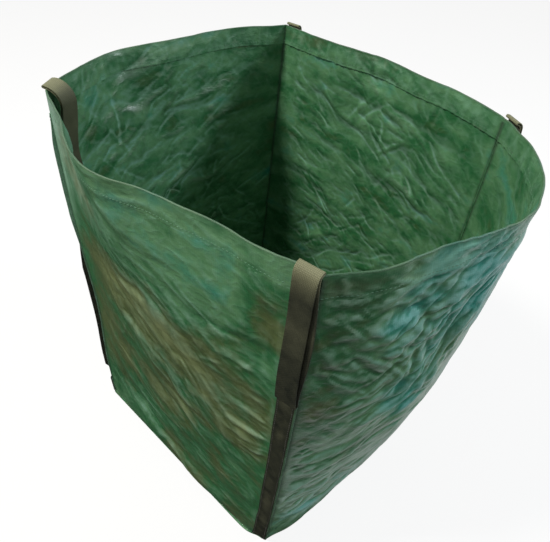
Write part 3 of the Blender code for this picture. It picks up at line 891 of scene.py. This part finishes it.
walls = []
for number, name in enumerate(WALL_NAMES):
    columns = int(max(wall_lengths[number]) / GRID_STEP) + 1
    heights = np.linspace(CLOTH_BOTTOM, HEM_BOTTOM, int((HEM_BOTTOM - CLOTH_BOTTOM) / GRID_STEP) + 1)[:, None]
    share = np.linspace(1, 0, columns)[None, :]
    distance = WALL_EDGE_GAP + share * (length_at(number, heights) - 2 * WALL_EDGE_GAP)
    height = np.broadcast_to(heights, distance.shape)
    points, pale = cloth_at(number, distance, height)
    flat = np.stack([flat_x(number, distance), height], -1)
    wall = lay_grid(f"wall_{name}_cloth", points, flat, pale, tone_at(number, distance, height))
    finish_sheet(wall, wall_cloth, CLOTH_THICKNESS, -1)
    walls.append(wall)
    print(wall.name, len(wall.data.polygons), "faces")

# %% [markdown]
# ## The hem
#
# At the mouth the cloth is folded to the inside and sewn down, so the rim is a soft doubled edge, and the inner flap
# puckers into small upright wrinkles because it is the shorter way round. It is one band: the outer face goes
# up to the rim, turns over, and the flap comes down inside to a free edge. The cross-section is closed, so
# the grid's first and last rows and columns meet, and its doubles are merged.

# %% Hem
HEM_DEPTH, HEM_THICKNESS = BAG_HEIGHT - HEM_BOTTOM, 0.0022
# On the flat cut the flap lies this far above the outer face, so that the two don't share a place.
FLAP_SHIFT = 0.05
# The fold itself gets painted shade: within this height of the rim, by this much.
RIM_CREST, RIM_PAINTED_SHADE = 0.0016, 1.5
fold_radius = HEM_THICKNESS / 2
fold_height = BAG_HEIGHT - fold_radius
# Each row: how far inside the outer face, how high, and how much of it belongs to the flap.
profile = [(0.0, HEM_BOTTOM + (fold_height - HEM_BOTTOM) * r, 0.0) for r in np.linspace(0, 1, 14)]
profile += [
    (fold_radius * (1 - math.cos(a)), fold_height + fold_radius * math.sin(a), 0.15)
    for a in np.linspace(0, np.pi, 7)[1:-1]
]
profile += [(HEM_THICKNESS, fold_height - (HEM_DEPTH - fold_radius) * r, 1.0) for r in np.linspace(0, 1, 14)]
profile.append(profile[0])
inset, levels, flap = np.array(profile).T[:, :, None]


def puckers(wall, distance, height):
    """Height of the flap's upright wrinkles, in millimetres."""
    x, y = flat_x(wall, distance) * 1000, height * 1000
    return ridges(x / 15, y / 70, 81 + wall) * 1.3 + ridges(x / 7, y / 40, 91 + wall) * 0.6


ring = []
for number in range(4):
    share = np.linspace(1, 0, int(wall_lengths[number][-1] / GRID_STEP) + 1)
    share = share if number == 3 else share[:-1]
    height = np.broadcast_to(levels, (len(profile), len(share)))
    distance = share[None, :] * length_at(number, height)
    points, pale = cloth_at(number, distance, height)
    pucker = puckers(number, distance, height)
    puckered = flap * pucker / 1000 * soft_step(BAG_HEIGHT - height, 0.001, 0.018)
    points = points - shell_normal(number, distance, height) * (inset + puckered)[..., None]
    flat = np.stack([flat_x(number, distance), height + flap * FLAP_SHIFT], -1)
    crest = np.exp(-(((height - BAG_HEIGHT) / RIM_CREST) ** 2))
    # Painted shade along the fold; the flap's pucker crests are paler, partly whitened coat and partly painted
    # highlight.
    pale = pale * (height < BAG_HEIGHT - 0.004) - RIM_PAINTED_SHADE * crest + flap * (0.22 * pucker - 0.02)
    ring.append((points, flat, np.clip(pale, -2, 1), tone_at(number, distance, height)))

points, flat, pale, tone = (np.concatenate(parts, 1) for parts in zip(*ring))
points[:, -1] = points[:, 0]
hem = lay_grid("hem_band", points, flat, pale, tone)
close_up(hem)
bpy.ops.object.shade_smooth_by_angle(angle=SMOOTH_BELOW)
paint(hem, hem_cloth)
print(hem.name, len(hem.data.polygons), "faces")

# %% [markdown]
# ## The floor panel
#
# The floor is a square of the same cloth with a narrow sewn lip. Standing empty it lies flat at its edges and ripples
# a little in the middle. A grid with its corners rounded off shows that; it is soft, so none of its edges is quite
# straight.

# %% Floor panel
BASE_LIP, BASE_CORNER_RADIUS, BASE_TOP, BASE_STEPS = 0.0028, 0.006, 0.0014, 120
BASE_PLACE_ON_CUT = (3.2, 0.5)
reach = HALF + BASE_LIP
straight = reach - BASE_CORNER_RADIUS
steps = np.linspace(-reach, reach, BASE_STEPS)
square = np.stack(np.meshgrid(steps, steps))
past = np.maximum(np.abs(square) - straight, 0)
past_by = np.hypot(*past)
pull = np.where(past_by > BASE_CORNER_RADIUS, BASE_CORNER_RADIUS / np.maximum(past_by, 1e-9), 1)
x, y = np.sign(square) * (np.minimum(np.abs(square), straight) + past * pull)
_, _, (way_x, way_y), tuck, _, tuck_reach, _ = TUCKS[0]
tucked = tuck / math.sqrt(2) * np.exp(-((np.hypot(x - HALF, y + HALF) / tuck_reach) ** 2))
x, y = x + way_x * tucked, y + way_y * tucked
inner = soft_step(HALF - np.maximum(np.abs(x), np.abs(y)), 0.004, 0.03)
ripple = ridges(x * 1000 / 60, y * 1000 / 60, 101) * 0.9 + ridges(x * 1000 / 27, y * 1000 / 27, 102) * 0.5
# The ripple crests are paler, partly whitened coat and partly painted highlight.
floor_panel = lay_grid(
    "floor_panel_cloth", np.stack([x, y, BASE_TOP + inner * ripple / 1000], -1),
    np.stack([x + BASE_PLACE_ON_CUT[0], y + BASE_PLACE_ON_CUT[1]], -1),
    inner * ripple * 0.35, 0.45 + 0.3 * field(x * 9, y * 9, 103),
)
finish_sheet(floor_panel, wall_cloth, CLOTH_THICKNESS, -1)
print(floor_panel.name, len(floor_panel.data.polygons), "faces")

# %% [markdown]
# ## The sewn corner edges
#
# Where two walls meet, both are turned outward and stitched, which leaves a narrow standing edge. It wavers, because
# nothing holds its free side. Each one is a thin strip from the corner line outward, laid row by row up the corner.

# %% Corner seams
SEAM_WIDTH, SEAM_INSET, SEAM_THICKNESS, SEAM_ROWS = 0.0050, 0.0014, 0.0018, 190
# Painted light on each sewn edge: painted shade on the edge beside the front strap, a little on the right and back
# ones, and a painted highlight on the one behind the left strap.
SEAM_PAINTED_LIGHT = (-1.8, -0.3, -0.3, 0.7)
# The front left edge is turned under the strap below its middle, so that less of it stands out there.
NARROWING_HEIGHTS, NARROWING_SHARES = (0, 0.42, 0.48, 0.67), (0.35, 0.35, 1.0, 1.0)
# How far from the corner each wall is read to find its direction there.
CORNER_REACH = 0.006


def seam_foot(heights):
    """Share of its width that a sewn edge has near its lower end, where it is turned under."""
    return 0.08 + 0.92 * soft_step(heights, 0.045, 0.130)


def swing(mm, length, seed):
    """A smooth random number along a line, about -0.7 to 0.7; its swings are about this many millimetres long."""
    return field(mm / length, np.full_like(mm, 0.5), seed)


def corner_frame(corner, height):
    """Corner points with the level direction that points away from both walls, and the one across it."""
    before, after = (corner - 1) % 4, corner % 4
    root = smooth_shell(before, np.zeros_like(height), height)
    past = smooth_shell(after, length_at(after, height) - CORNER_REACH, height)
    past = past - smooth_shell(before, np.full_like(height, CORNER_REACH), height)
    level = np.zeros_like(height)
    out = unit(np.stack([past[..., 1], -past[..., 0], level], -1))
    return root, out, np.stack([-out[..., 1], out[..., 0], level], -1)


seams = []
for corner, name in enumerate(WALL_NAMES, 1):
    heights = np.linspace(CLOTH_BOTTOM, HEM_BOTTOM, SEAM_ROWS)
    root, out, side = corner_frame(corner, heights)
    across = np.linspace(-SEAM_INSET, SEAM_WIDTH, 6)
    mm = heights[:, None] * 1000
    waver = 1.2 * swing(mm, 22, 111 + corner) + 0.7 * swing(mm, 9, 121 + corner)
    reach_out = np.maximum(across, 0) / SEAM_WIDTH
    sideways = waver * reach_out[None, :] ** 1.5 / 1000
    taper = 0.15 + 0.85 * soft_step(HEM_BOTTOM - heights, 0, 0.05)
    if name == "left":
        taper = np.interp(heights, NARROWING_HEIGHTS, NARROWING_SHARES) * taper
    taper = (taper * seam_foot(heights))[:, None]
    length_out = across[None, :] * taper * (1 + 0.10 * swing(mm, 30, 131 + corner))
    points = root[:, None] + out[:, None] * length_out[..., None] + side[:, None] * sideways[..., None]
    shape = length_out.shape
    flat = [np.broadcast_to(5.0 + 0.1 * corner + across, shape), np.broadcast_to(heights[:, None], shape)]
    # Each edge is painted paler towards its free side: painted highlight.
    pale = np.broadcast_to(0.22 * reach_out**3 + SEAM_PAINTED_LIGHT[corner - 1], shape)
    seam = lay_grid(f"seam_{name}_edge", points, np.stack(flat, -1), pale, np.full(shape, 0.5))
    finish_sheet(seam, wall_cloth, SEAM_THICKNESS, 0, bevelled=True)
    seams.append(seam)
print(len(seams), "corner seams of", len(seams[0].data.polygons), "faces")

# %% [markdown]
# ## The corner straps
#
# A strip of webbing runs up each wall beside its right-hand corner, stitched down along both edges. Between its
# stitches it lifts a little, and its edges aren't quite straight. The part above the hem's lower edge belongs to
# the rim, so it is a piece of its own that meets the lower one edge to edge.

# %% Straps and their ends over the hem
WEBBING_THICKNESS = 0.0013
STRAP_MIDDLE = STRAP_FROM_CORNER + STRAP_WIDTH / 2
strap_columns = np.linspace(1, -1, 11)
# How far the front and left straps are sewn nearer to their corners: heights, then moves, in metres.
STRAP_MOVES = {
    0: ((0.0, 0.05, 0.15, 0.30, 0.45, 0.60, 0.64), (0.0020, 0.0040, 0.0055, 0.0055, 0.0050, 0.0055, 0.0055)),
    3: (
        (0.0, 0.05, 0.062, 0.085, 0.10, 0.16, 0.30, 0.37, 0.42, 0.64),
        (0.0085, 0.0095, 0.0030, 0.0030, 0.0135, 0.0150, 0.0155, 0.0150, 0.0085, 0.0),
    ),
}


def strap_rows(wall, heights):
    """Points of a strap's under side, with its waver and its lift, and a painted sheen that is paler where it lifts."""
    mm = heights[:, None] * 1000
    waver = 1.1 * swing(mm, 60, 141 + wall) / 1000
    narrow = 1 - 0.03 * np.abs(swing(mm, 45, 151 + wall))
    distance = STRAP_MIDDLE + waver + strap_columns[None, :] * narrow * STRAP_WIDTH / 2
    if wall in STRAP_MOVES:
        distance = distance - np.interp(heights, *STRAP_MOVES[wall])[:, None]
    height = np.broadcast_to(heights[:, None], distance.shape)
    lift = (0.5 + field(mm / 26, distance * 1000 / 30, 161 + wall)) * (1 - strap_columns[None, :] ** 2)
    lift = np.clip(lift, 0, 1.2) * soft_step(HEM_BOTTOM - height, 0.0, 0.01) + 0.35
    points, _ = cloth_at(wall, np.maximum(distance, 0), height, lift / 1000, creased=False)
    _, out, _ = corner_frame(wall + 1, heights)
    points = points + out[:, None] * np.maximum(-distance, 0)[..., None]
    flat = np.stack([8.0 + 0.1 * wall - distance, height], -1)
    # Painted sheen: the webbing is greyer where it lifts between its stitches.
    return points, flat, np.clip((lift - 0.7) * 0.35, 0, 0.3)


def lay_strap(name, wall, low, high, rows):
    strap = lay_grid(name, *strap_rows(wall, np.linspace(low, high, rows)))
    finish_sheet(strap, webbing, WEBBING_THICKNESS, 1, bevelled=True)
    return strap


straps, anchors = [], []
for number, name in enumerate(WALL_NAMES):
    straps.append(lay_strap(f"strap_{name}_webbing", number, CLOTH_BOTTOM, HEM_BOTTOM, 210))
    anchors.append(lay_strap(f"anchor_{name}_webbing", number, HEM_BOTTOM, BAG_HEIGHT, 15))
print("straps and anchors:", [p.name for p in straps + anchors])

# %% [markdown]
# ## The carrying loops
#
# Each loop is the same webbing, folded back on itself like a hairpin, and it swings about the rim. Three hang outside
# and the left one has flopped into the bag. A loop's shape is drawn from the side first: out over the rim, then down,
# as two legs that part towards the tip. Then it is given its width, a slight twist, and legs that don't lie exactly
# over each other, as real ones never do.

# %% The outline of a loop
HANDLE_DROP = 0.160
# The left loop stands away from the wall at its top and leans back to it below.
OUTER_REACH, INNER_REACH, INNER_LEAN = 0.0056, 0.0220, 0.0160
ROOT_RADIUS, TIP_RADIUS = 0.0014, 0.0022
# How far each outer loop's tip stands off its strap. The folded-down wall is wider there than the mouth, so the front
# and right loops need more room than the back one.
LOOP_ROOM = (0.0095, 0.0130, 0.0, 0.0)
AXIS_OUT, AXIS_HEIGHT = 0.00105, 0.67245
LOOP_STATIONS = 60


def rim_frame(wall):
    """A point of the loop's axis, the direction along the rim and the one outward."""
    places = STRAP_FROM_CORNER + np.array([1, 0, 0.5]) * STRAP_WIDTH
    left, right, middle = smooth_shell(wall, places, BAG_HEIGHT)
    along = (right - left) / np.linalg.norm(right - left)
    outward = np.array([along[1], -along[0], 0.0])
    axis = middle + outward * AXIS_OUT
    axis[2] = AXIS_HEIGHT
    return axis, along, outward


def strap_stand_out(wall, drops):
    """How far the strap stands out of the rim's own plane at these depths below the rim."""
    distances = STRAP_FROM_CORNER + np.linspace(0, 1, 5)[None, :] * STRAP_WIDTH
    points = smooth_shell(wall, distances, BAG_HEIGHT - drops[:, None])
    middle = smooth_shell(wall, STRAP_MIDDLE, BAG_HEIGHT)
    return np.maximum(((points - middle) @ rim_frame(wall)[2]).max(axis=1), 0)


def half_turn(place, ahead, radius):
    """Ten points round the end of a loop."""
    sideways = np.array([-ahead[1], ahead[0]])
    angles = np.linspace(0, np.pi, 12)[1:-1, None]
    return place + sideways * np.cos(angles) * radius + ahead * np.sin(angles) * radius


def loop_outline(wall, inside):
    """(out, up), place along the leg 0 to 1 and leg of the loop's middle line, all the way round."""
    reach_out = INNER_REACH if inside else OUTER_REACH
    share = np.linspace(0, 1, LOOP_STATIONS)
    arc = np.pi / 2 * reach_out
    fall = HANDLE_DROP - reach_out - TIP_RADIUS
    run = share * (arc + fall)
    angle = np.clip(run / reach_out, 0, np.pi / 2)
    drop = reach_out * (1 - np.cos(angle)) + fall * np.clip((run - arc) / fall, 0, 1)
    if inside:
        lean = -INNER_LEAN * soft_step(share, 0.15, 0.70)
    else:
        lean = strap_stand_out(wall, drop) * soft_step(share, 0, 0.1) + LOOP_ROOM[wall] * soft_step(share, 0.05, 0.95)
    spine = np.stack([reach_out * np.sin(angle) + lean, -drop], 1)
    tangent = np.gradient(spine, axis=0)
    tangent[0] = (1, 0)
    tangent = unit(tangent)
    gap = (ROOT_RADIUS + (TIP_RADIUS - ROOT_RADIUS) * share)[:, None]
    side = np.stack([-tangent[:, 1], tangent[:, 0]], 1) * gap
    tip = half_turn(spine[-1], tangent[-1], TIP_RADIUS)
    root = half_turn(spine[0], np.array([-1.0, 0.0]), ROOT_RADIUS)
    line = np.concatenate([spine + side, tip, (spine - side)[::-1], root])
    place = np.concatenate([share, np.ones(len(tip)), share[::-1], np.zeros(len(root))])
    one = np.ones(LOOP_STATIONS)
    leg = np.concatenate([one, np.linspace(1, -1, len(tip)), -one, np.linspace(-1, 1, len(root))])
    return line, place, leg


# %% [markdown]
# Each loop has its own numbers for how it has slipped and twisted. The outline is turned into a band by moving it to
# both sides along the rim, and the band is closed where it meets itself under the rim.

# %% Loops
# Sideways shift at the rim, of the outer and of the inner leg half way down and of the tip, in millimetres, and the
# twist in degrees.
LOOP_SHIFTS = {
    "front": (7.0, 3.5, 9.0, 15.0, 8), "right": (9.0, 1.5, -3.0, 0.0, -6), "back": (3.0, -2.0, 2.5, 0.0, 5),
    "left": (4.0, 5.0, 3.0, 6.0, -5),
}
# The left loop also turns its face by this many degrees towards its tip.
INNER_TURN = 30


def run_along(line):
    """Length from the first point of a line to each of its points."""
    return np.concatenate([[0], np.cumsum(np.linalg.norm(np.diff(line, axis=0), axis=1))])


loops = []
for number, name in enumerate(WALL_NAMES):
    axis, along, outward = rim_frame(number)
    inside = name == "left"
    way = -outward if inside else outward
    line, place, leg = loop_outline(number, inside)
    root_shift, outer_shift, inner_shift, tip_shift, twist = LOOP_SHIFTS[name]
    swell = np.sin(np.pi * place) ** 1.3
    shift = np.where(leg > 0, outer_shift * leg, -inner_shift * leg) * swell
    shift = (shift + root_shift * (1 - place) ** 2 + tip_shift * place**1.5) / 1000
    tilt = np.radians(twist * np.sin(np.pi * place**0.8) - INNER_TURN * inside * place**0.6) * leg
    run = run_along(line)
    tangent = unit(np.gradient(np.concatenate([line[-1:], line, line[:1]]), axis=0)[1:-1])
    normal = np.stack([-tangent[:, 1], tangent[:, 0]], 1)
    across = np.linspace(-1, 1, 9)[None, :] * STRAP_WIDTH / 2
    cup = 0.0009 * field(run[:, None] * 1000 / 22, across * 1000 / 9 + 3, 171 + number)
    sideways = shift[:, None] + across * np.cos(tilt)[:, None]
    off = across * np.sin(tilt)[:, None] + cup * np.sin(np.pi * place)[:, None]
    out = line[:, :1] + normal[:, :1] * off
    up = line[:, 1:] + normal[:, 1:] * off
    points = axis + way * out[..., None] + np.array([0, 0, 1.0]) * up[..., None] + along * sideways[..., None]
    points = np.concatenate([points, points[:1]])
    shape = points.shape[:2]
    run = np.concatenate([run, run[-1:] + 0.0008])
    flat = np.stack([np.broadcast_to(across + 9.0, shape), np.broadcast_to(run[:, None], shape)], -1)
    around = np.concatenate([place, place[:1]])
    # Painted sheen: the webbing is greyer at its bend over the rim, a little half way down, and all over on the loop
    # inside the bag.
    pale_and_sheen = 0.95 * np.exp(-((around / 0.11) ** 2)) + 0.12 * np.exp(-(((around - 0.42) / 0.14) ** 2)) + 0.32 * inside
    loop = lay_grid(f"handle_{name}_webbing", points, flat, np.broadcast_to(pale_and_sheen[:, None], shape))
    close_up(loop)
    finish_sheet(loop, webbing, WEBBING_THICKNESS, 0, bevelled=True)
    loops.append(loop)
print("loops:", [p.name for p in loops])

# %% [markdown]
# ## Stitching
#
# A lockstitch shows as a row of short raised grains, 3 mm long, with the thread dipping into the cloth between them.
# One stitch is modelled from a small sphere, pulled long and pressed flat, and then its mesh is copied to each place
# in a row and turned to follow it. A few dozen faces each are enough, because there are hundreds.

# %% One stitch and the rows of it
STITCH_LENGTH, STITCH_PITCH, STITCH_WIDTH = 0.0032, 0.0044, 0.0007
bpy.ops.object.select_all(action="DESELECT")
bpy.ops.mesh.primitive_uv_sphere_add(segments=6, ring_count=4, radius=0.5)
stitch = bpy.context.object
stitch.name = "stitch_pattern"
bpy.ops.object.mode_set(mode="EDIT")
bpy.ops.mesh.select_all(action="SELECT")
bpy.ops.transform.resize(value=(STITCH_WIDTH, STITCH_WIDTH * 0.8, STITCH_LENGTH))
bpy.ops.object.mode_set(mode="OBJECT")
# Blender can give a new sphere's vertices and faces in another order on another run, so both are put in a fixed one:
# vertices by their place, and each face from its lowest vertex on.
stitch_points = np.array([v.co for v in stitch.data.vertices])
vertex_order = np.lexsort(stitch_points.T)
new_numbers = np.argsort(vertex_order)
stitch_points = stitch_points[vertex_order]
stitch_faces = []
for polygon in stitch.data.polygons:
    face = [int(new_numbers[v]) for v in polygon.vertices]
    start = face.index(min(face))
    stitch_faces.append(tuple(face[start:] + face[:start]))
stitch_faces.sort()
bpy.data.objects.remove(stitch)


def sew(name, rows, material):
    """Copies of the stitch along lines of (places, outward directions)."""
    points, faces = [], []
    for line, outward in rows:
        run = run_along(line)
        count = max(int(run[-1] / STITCH_PITCH), 1)
        at = (np.arange(count) + 0.5) * run[-1] / count
        place, out, past, before = (
            np.stack([np.interp(where, run, values[:, k]) for k in range(3)], 1)
            for where, values in ((at, line), (at, outward), (at + 0.001, line), (at - 0.001, line))
        )
        ahead = unit(past - before)
        out = unit(out - ahead * (out * ahead).sum(1, keepdims=True))
        for p, s, o, a in zip(place, np.cross(out, ahead), out, ahead):
            start = len(points) * len(stitch_points)
            points.append(p + stitch_points[:, :1] * s + stitch_points[:, 1:2] * o + stitch_points[:, 2:] * a)
            faces += [tuple(start + v for v in face) for face in stitch_faces]
    mesh = bpy.data.meshes.new(name)
    mesh.from_pydata(np.concatenate(points).tolist(), [], faces)
    piece = bpy.data.objects.new(name, mesh)
    bpy.context.scene.collection.objects.link(piece)
    pick(piece)
    bpy.ops.object.shade_smooth()
    paint(piece, material)
    return piece


# %% [markdown]
# The straps have a row along each edge. Where they cross the hem, a box with a cross in it holds the loop, as on most
# load-bearing webbing. The sewn edges of the corners have one row, seen from both of its sides.

# %% Stitching of straps and corners
STITCH_LIFT = 0.0001
STRAP_ROW, BOX_ROW = 0.8, 0.72
BOX_LOW, BOX_HIGH = BAG_HEIGHT - 0.0255, BAG_HEIGHT - 0.0055
# The ends of the rows across the box, as (share of the strap's width, height): two edges and the cross.
BOX_ROWS = (
    ((-BOX_ROW, BOX_LOW), (BOX_ROW, BOX_LOW)), ((-BOX_ROW, BOX_HIGH), (BOX_ROW, BOX_HIGH)),
    ((-BOX_ROW, BOX_LOW), (BOX_ROW, BOX_HIGH)), ((BOX_ROW, BOX_LOW), (-BOX_ROW, BOX_HIGH)),
)
# How far out each corner's row lies on its sewn edge.
SEAM_ROW_OUT = (0.0026, 0.0026, 0.0026, 0.0012)


def strap_line(wall, share, heights):
    """A stitched line on a strap's face: share runs from -1 to 1 across it."""
    points, _, _ = strap_rows(wall, heights)
    last = len(strap_columns) - 1
    column = (1 - share) / 2 * last
    low = int(column)
    line = points[:, low] * (1 - (column - low)) + points[:, min(low + 1, last)] * (column - low)
    outward = shell_normal(wall, np.full_like(heights, STRAP_MIDDLE), heights)
    return line + outward * (WEBBING_THICKNESS + STITCH_LIFT), outward


def box_line(wall, ends):
    """A straight row across the box from one end to the other."""
    (first, outward), (last, _) = (strap_line(wall, share, np.array([at, at + 0.0001])) for share, at in ends)
    shares = np.linspace(0, 1, 8)[:, None]
    return first[:1] * (1 - shares) + last[:1] * shares, np.repeat(outward[:1], 8, 0)


strap_stitches, anchor_stitches, seam_stitches = [], [], []
for number, name in enumerate(WALL_NAMES):
    heights = np.linspace(CLOTH_BOTTOM + 0.004, HEM_BOTTOM - 0.001, 200)
    rows = [strap_line(number, share, heights) for share in (-STRAP_ROW, STRAP_ROW)]
    strap_stitches.append(sew(f"strap_{name}_stitching", rows, black_thread))
    rows = [strap_line(number, share, np.linspace(BOX_LOW, BOX_HIGH, 12)) for share in (-BOX_ROW, BOX_ROW)]
    rows += [box_line(number, ends) for ends in BOX_ROWS]
    anchor_stitches.append(sew(f"stitch_box_{name}_thread", rows, black_thread))
    heights = np.linspace(CLOTH_BOTTOM + 0.004, HEM_BOTTOM - 0.002, 200)
    root, out, side = corner_frame(number + 1, heights)
    middle = root + out * (SEAM_ROW_OUT[number] * seam_foot(heights))[:, None]
    rows = [(middle + side * (s * (SEAM_THICKNESS / 2 + 0.00005)), side * s) for s in (-1, 1)]
    seam_stitches.append(sew(f"seam_{name}_stitching", rows, green_thread))
print("stitched", [p.name for p in strap_stitches + anchor_stitches + seam_stitches])

# %% [markdown]
# One row holds the hem all round. It shows outside, where the straps hide parts of it, and on the puckered flap inside.

# %% Hem stitching
HEM_ROW_UP = 0.005
hem_rows = []
for number in range(4):
    height = np.full(200, HEM_BOTTOM + HEM_ROW_UP)
    distance = np.linspace(1, 0, 200) * length_at(number, height)
    clear = distance > STRAP_FROM_CORNER + STRAP_WIDTH
    outward = shell_normal(number, distance, height)
    points, _ = cloth_at(number, distance, height)
    hem_rows.append((points[clear] + outward[clear] * STITCH_LIFT, outward[clear]))
    depth = HEM_THICKNESS + puckers(number, distance, height) / 1000 + STITCH_LIFT
    hem_rows.append((points - outward * depth[:, None], -outward))
hem_stitching = sew("hem_stitching", hem_rows, green_thread)
print(hem_stitching.name, len(hem_stitching.data.polygons), "faces")

# %% [markdown]
# ## Riding on the bodies
#
# The walls, their seams and their straps ride the floor's body, each with a mesh of its own, and everything on the hem
# rides the rim. A loop rides the body of its own hinge. Each piece stands for the CAD solids that it covers.


def fold_down(piece):
    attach(piece, "base")
    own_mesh(piece)


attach(floor_panel, "base")
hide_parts("base_panel")
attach(hem, "rim")
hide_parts("rim_hem")
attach(hem_stitching, "rim")
for number, name in enumerate(WALL_NAMES):
    for piece in (walls[number], seams[number], straps[number], strap_stitches[number], seam_stitches[number]):
        fold_down(piece)
    for piece in (anchors[number], anchor_stitches[number]):
        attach(piece, "rim")
    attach(loops[number], f"handle_{name}")
    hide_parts(f"wall_{name}")
    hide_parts(f"seam_{name}")
    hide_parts(f"strap_{name}")
    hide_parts(f"anchor_{name}")
    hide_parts(f"stitch_box_{name}")
    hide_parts(f"handle_{name}")

# %% [markdown]
# ## How tall each wall was cut
#
# The walls aren't rectangles, because the mouth is wider than the floor, so the height each wall was cut to is worked
# out from the uncreased shell, up its middle.

# %% Flat sizes
AREA_STEPS = 120
for number, name in enumerate(WALL_NAMES):
    heights = np.linspace(CLOTH_BOTTOM, HEM_BOTTOM, AREA_STEPS)
    middle = smooth_shell(number, length_at(number, heights) / 2, heights)
    up = float(np.linalg.norm(np.diff(middle, axis=0), axis=1).sum())

# %% [markdown]
# ## Floor and light
#
# The ground is plain white. The floor is a pale plane that keeps a soft shadow, and the world behind it is white to
# the camera. To the light that falls on it the floor is a mid grey, so that it doesn't light the walls from below. In
# the gloss of the cloth it is dark around the bag, as if a dark sheet lay under it, and half bright from two metres
# on, so that only the flanks of folds that face up turn bright. A strip beside the right wall is pale as well, as a
# card laid there would be, which gives that wall its pale lower edge.

# %% Floor
FLOOR_SIZE, FLOOR_DROP = 30, 0.0003
bpy.ops.object.select_all(action="DESELECT")
bpy.ops.mesh.primitive_plane_add(size=FLOOR_SIZE, location=(0, 0, -FLOOR_DROP))
floor = bpy.context.object
floor.name = floor.data.name = "floor"
ground, paper = new_material("matt_white_backdrop_paper")
feed(paper, {"Base Color": hex_colour("#FAFAF8"), "Roughness": 0.9})
rays = add(ground, "LightPath").node.outputs
spot = add(ground, "SeparateXYZ", (add(ground, "TexCoord", output="Object"),)).node.outputs
x, y = spot["X"], spot["Y"]

# To the camera: paper that glows, so that it is white and still shows a soft shadow.
glow = add(ground, "Emission", {"Color": (1, 1, 1, 1), "Strength": 1.0})
bright = add(ground, "MixShader", (0.85, paper.outputs[0], glow))

# In the gloss: the card's outer edge runs slantwise from 0.48 m, and its inner edge fades in from 0.29 m.
card_edge = add(ground, "Math", (y, 0.10), operation="MAXIMUM")
card_edge = add(ground, "Math", (card_edge, 0.9, 0.39), operation="MULTIPLY_ADD")
past_edge = add(ground, "Math", (x, card_edge), operation="SUBTRACT")
fade_in = add(ground, "MapRange", (x, 0.29, 0.39, 0.0, 0.85), interpolation_type="SMOOTHSTEP")
fade_out = add(ground, "MapRange", (past_edge, -0.06, 0.05, 1.0, 0.0), interpolation_type="SMOOTHSTEP")
card = add(ground, "Math", (fade_in, fade_out), operation="MULTIPLY")
away = add(ground, "Math", (y, y), operation="MULTIPLY")
away = add(ground, "Math", (x, x, away), operation="MULTIPLY_ADD")
away = add(ground, "Math", (away,), operation="SQRT")
far_floor = add(ground, "MapRange", (away, 1.25, 2.1, 0.0, 0.52), interpolation_type="SMOOTHSTEP")
shine = add(ground, "Math", (card, far_floor), operation="MAXIMUM")
shine = add(ground, "Math", (shine, 0.03), operation="ADD")
mirrored = add(ground, "Emission", {"Color": hex_colour("#F8F8FD"), "Strength": shine})

# To all other light: a mid grey.
dim = add(ground, "BsdfDiffuse", {"Color": hex_colour("#8A8A80")})
unseen = add(ground, "MixShader", (rays["Is Glossy Ray"], dim, mirrored))
lit = add(ground, "MixShader", (rays["Is Camera Ray"], unseen, bright))
feed(ground.node_tree.nodes["Material Output"], {"Surface": lit})
paint(floor, ground)
print("floor", FLOOR_SIZE, "m across, with", len(ground.node_tree.nodes), "nodes")

# %% [markdown]
# A soft key lamp stands high on the left and in front, a second lamp behind on the right, and a weak broad one low in
# front, so that the creases show without any burnt spot. The world is white to the camera and in the gloss, and dimmer
# as a source of light.

# %% Light
def soft_lamp(name, place, size, power, colour):
    data = bpy.data.lights.new(name, "AREA")
    data.shape, data.size = "DISK", size
    data.energy = power
    data.color = hex_colour(colour)[:3]
    lamp = bpy.data.objects.new(name, data)
    bpy.context.scene.collection.objects.link(lamp)
    lamp.location = place
    lamp.rotation_euler = (MIDDLE_OF_BAG - Vector(place)).to_track_quat("-Z", "Y").to_euler()


MIDDLE_OF_BAG, WORLD_LIGHT = Vector((0.0, 0.0, 0.4)), 0.26
soft_lamp("key_lamp", (-1.1, -1.5, 3.0), 0.6, 103, "#FFFBF2")
soft_lamp("side_lamp", (2.2, 1.9, 2.6), 0.6, 70, "#EEF6FF")
soft_lamp("front_lamp", (0.9, -2.4, 1.3), 1.2, 6, "#FFFFFF")

world = bpy.data.worlds.new("white_studio")
bpy.context.scene.world = world
world.use_nodes = True
rays = add(world, "LightPath").node.outputs
shown = add(world, "Math", (rays["Is Camera Ray"], rays["Is Glossy Ray"]), operation="MAXIMUM")
strength = add(world, "MapRange", {"Value": shown, "To Min": WORLD_LIGHT, "To Max": 1.0})
feed(world.node_tree.nodes["Background"], {"Color": (1, 1, 1, 1), "Strength": strength})
bpy.context.scene.view_settings.view_transform = "Standard"
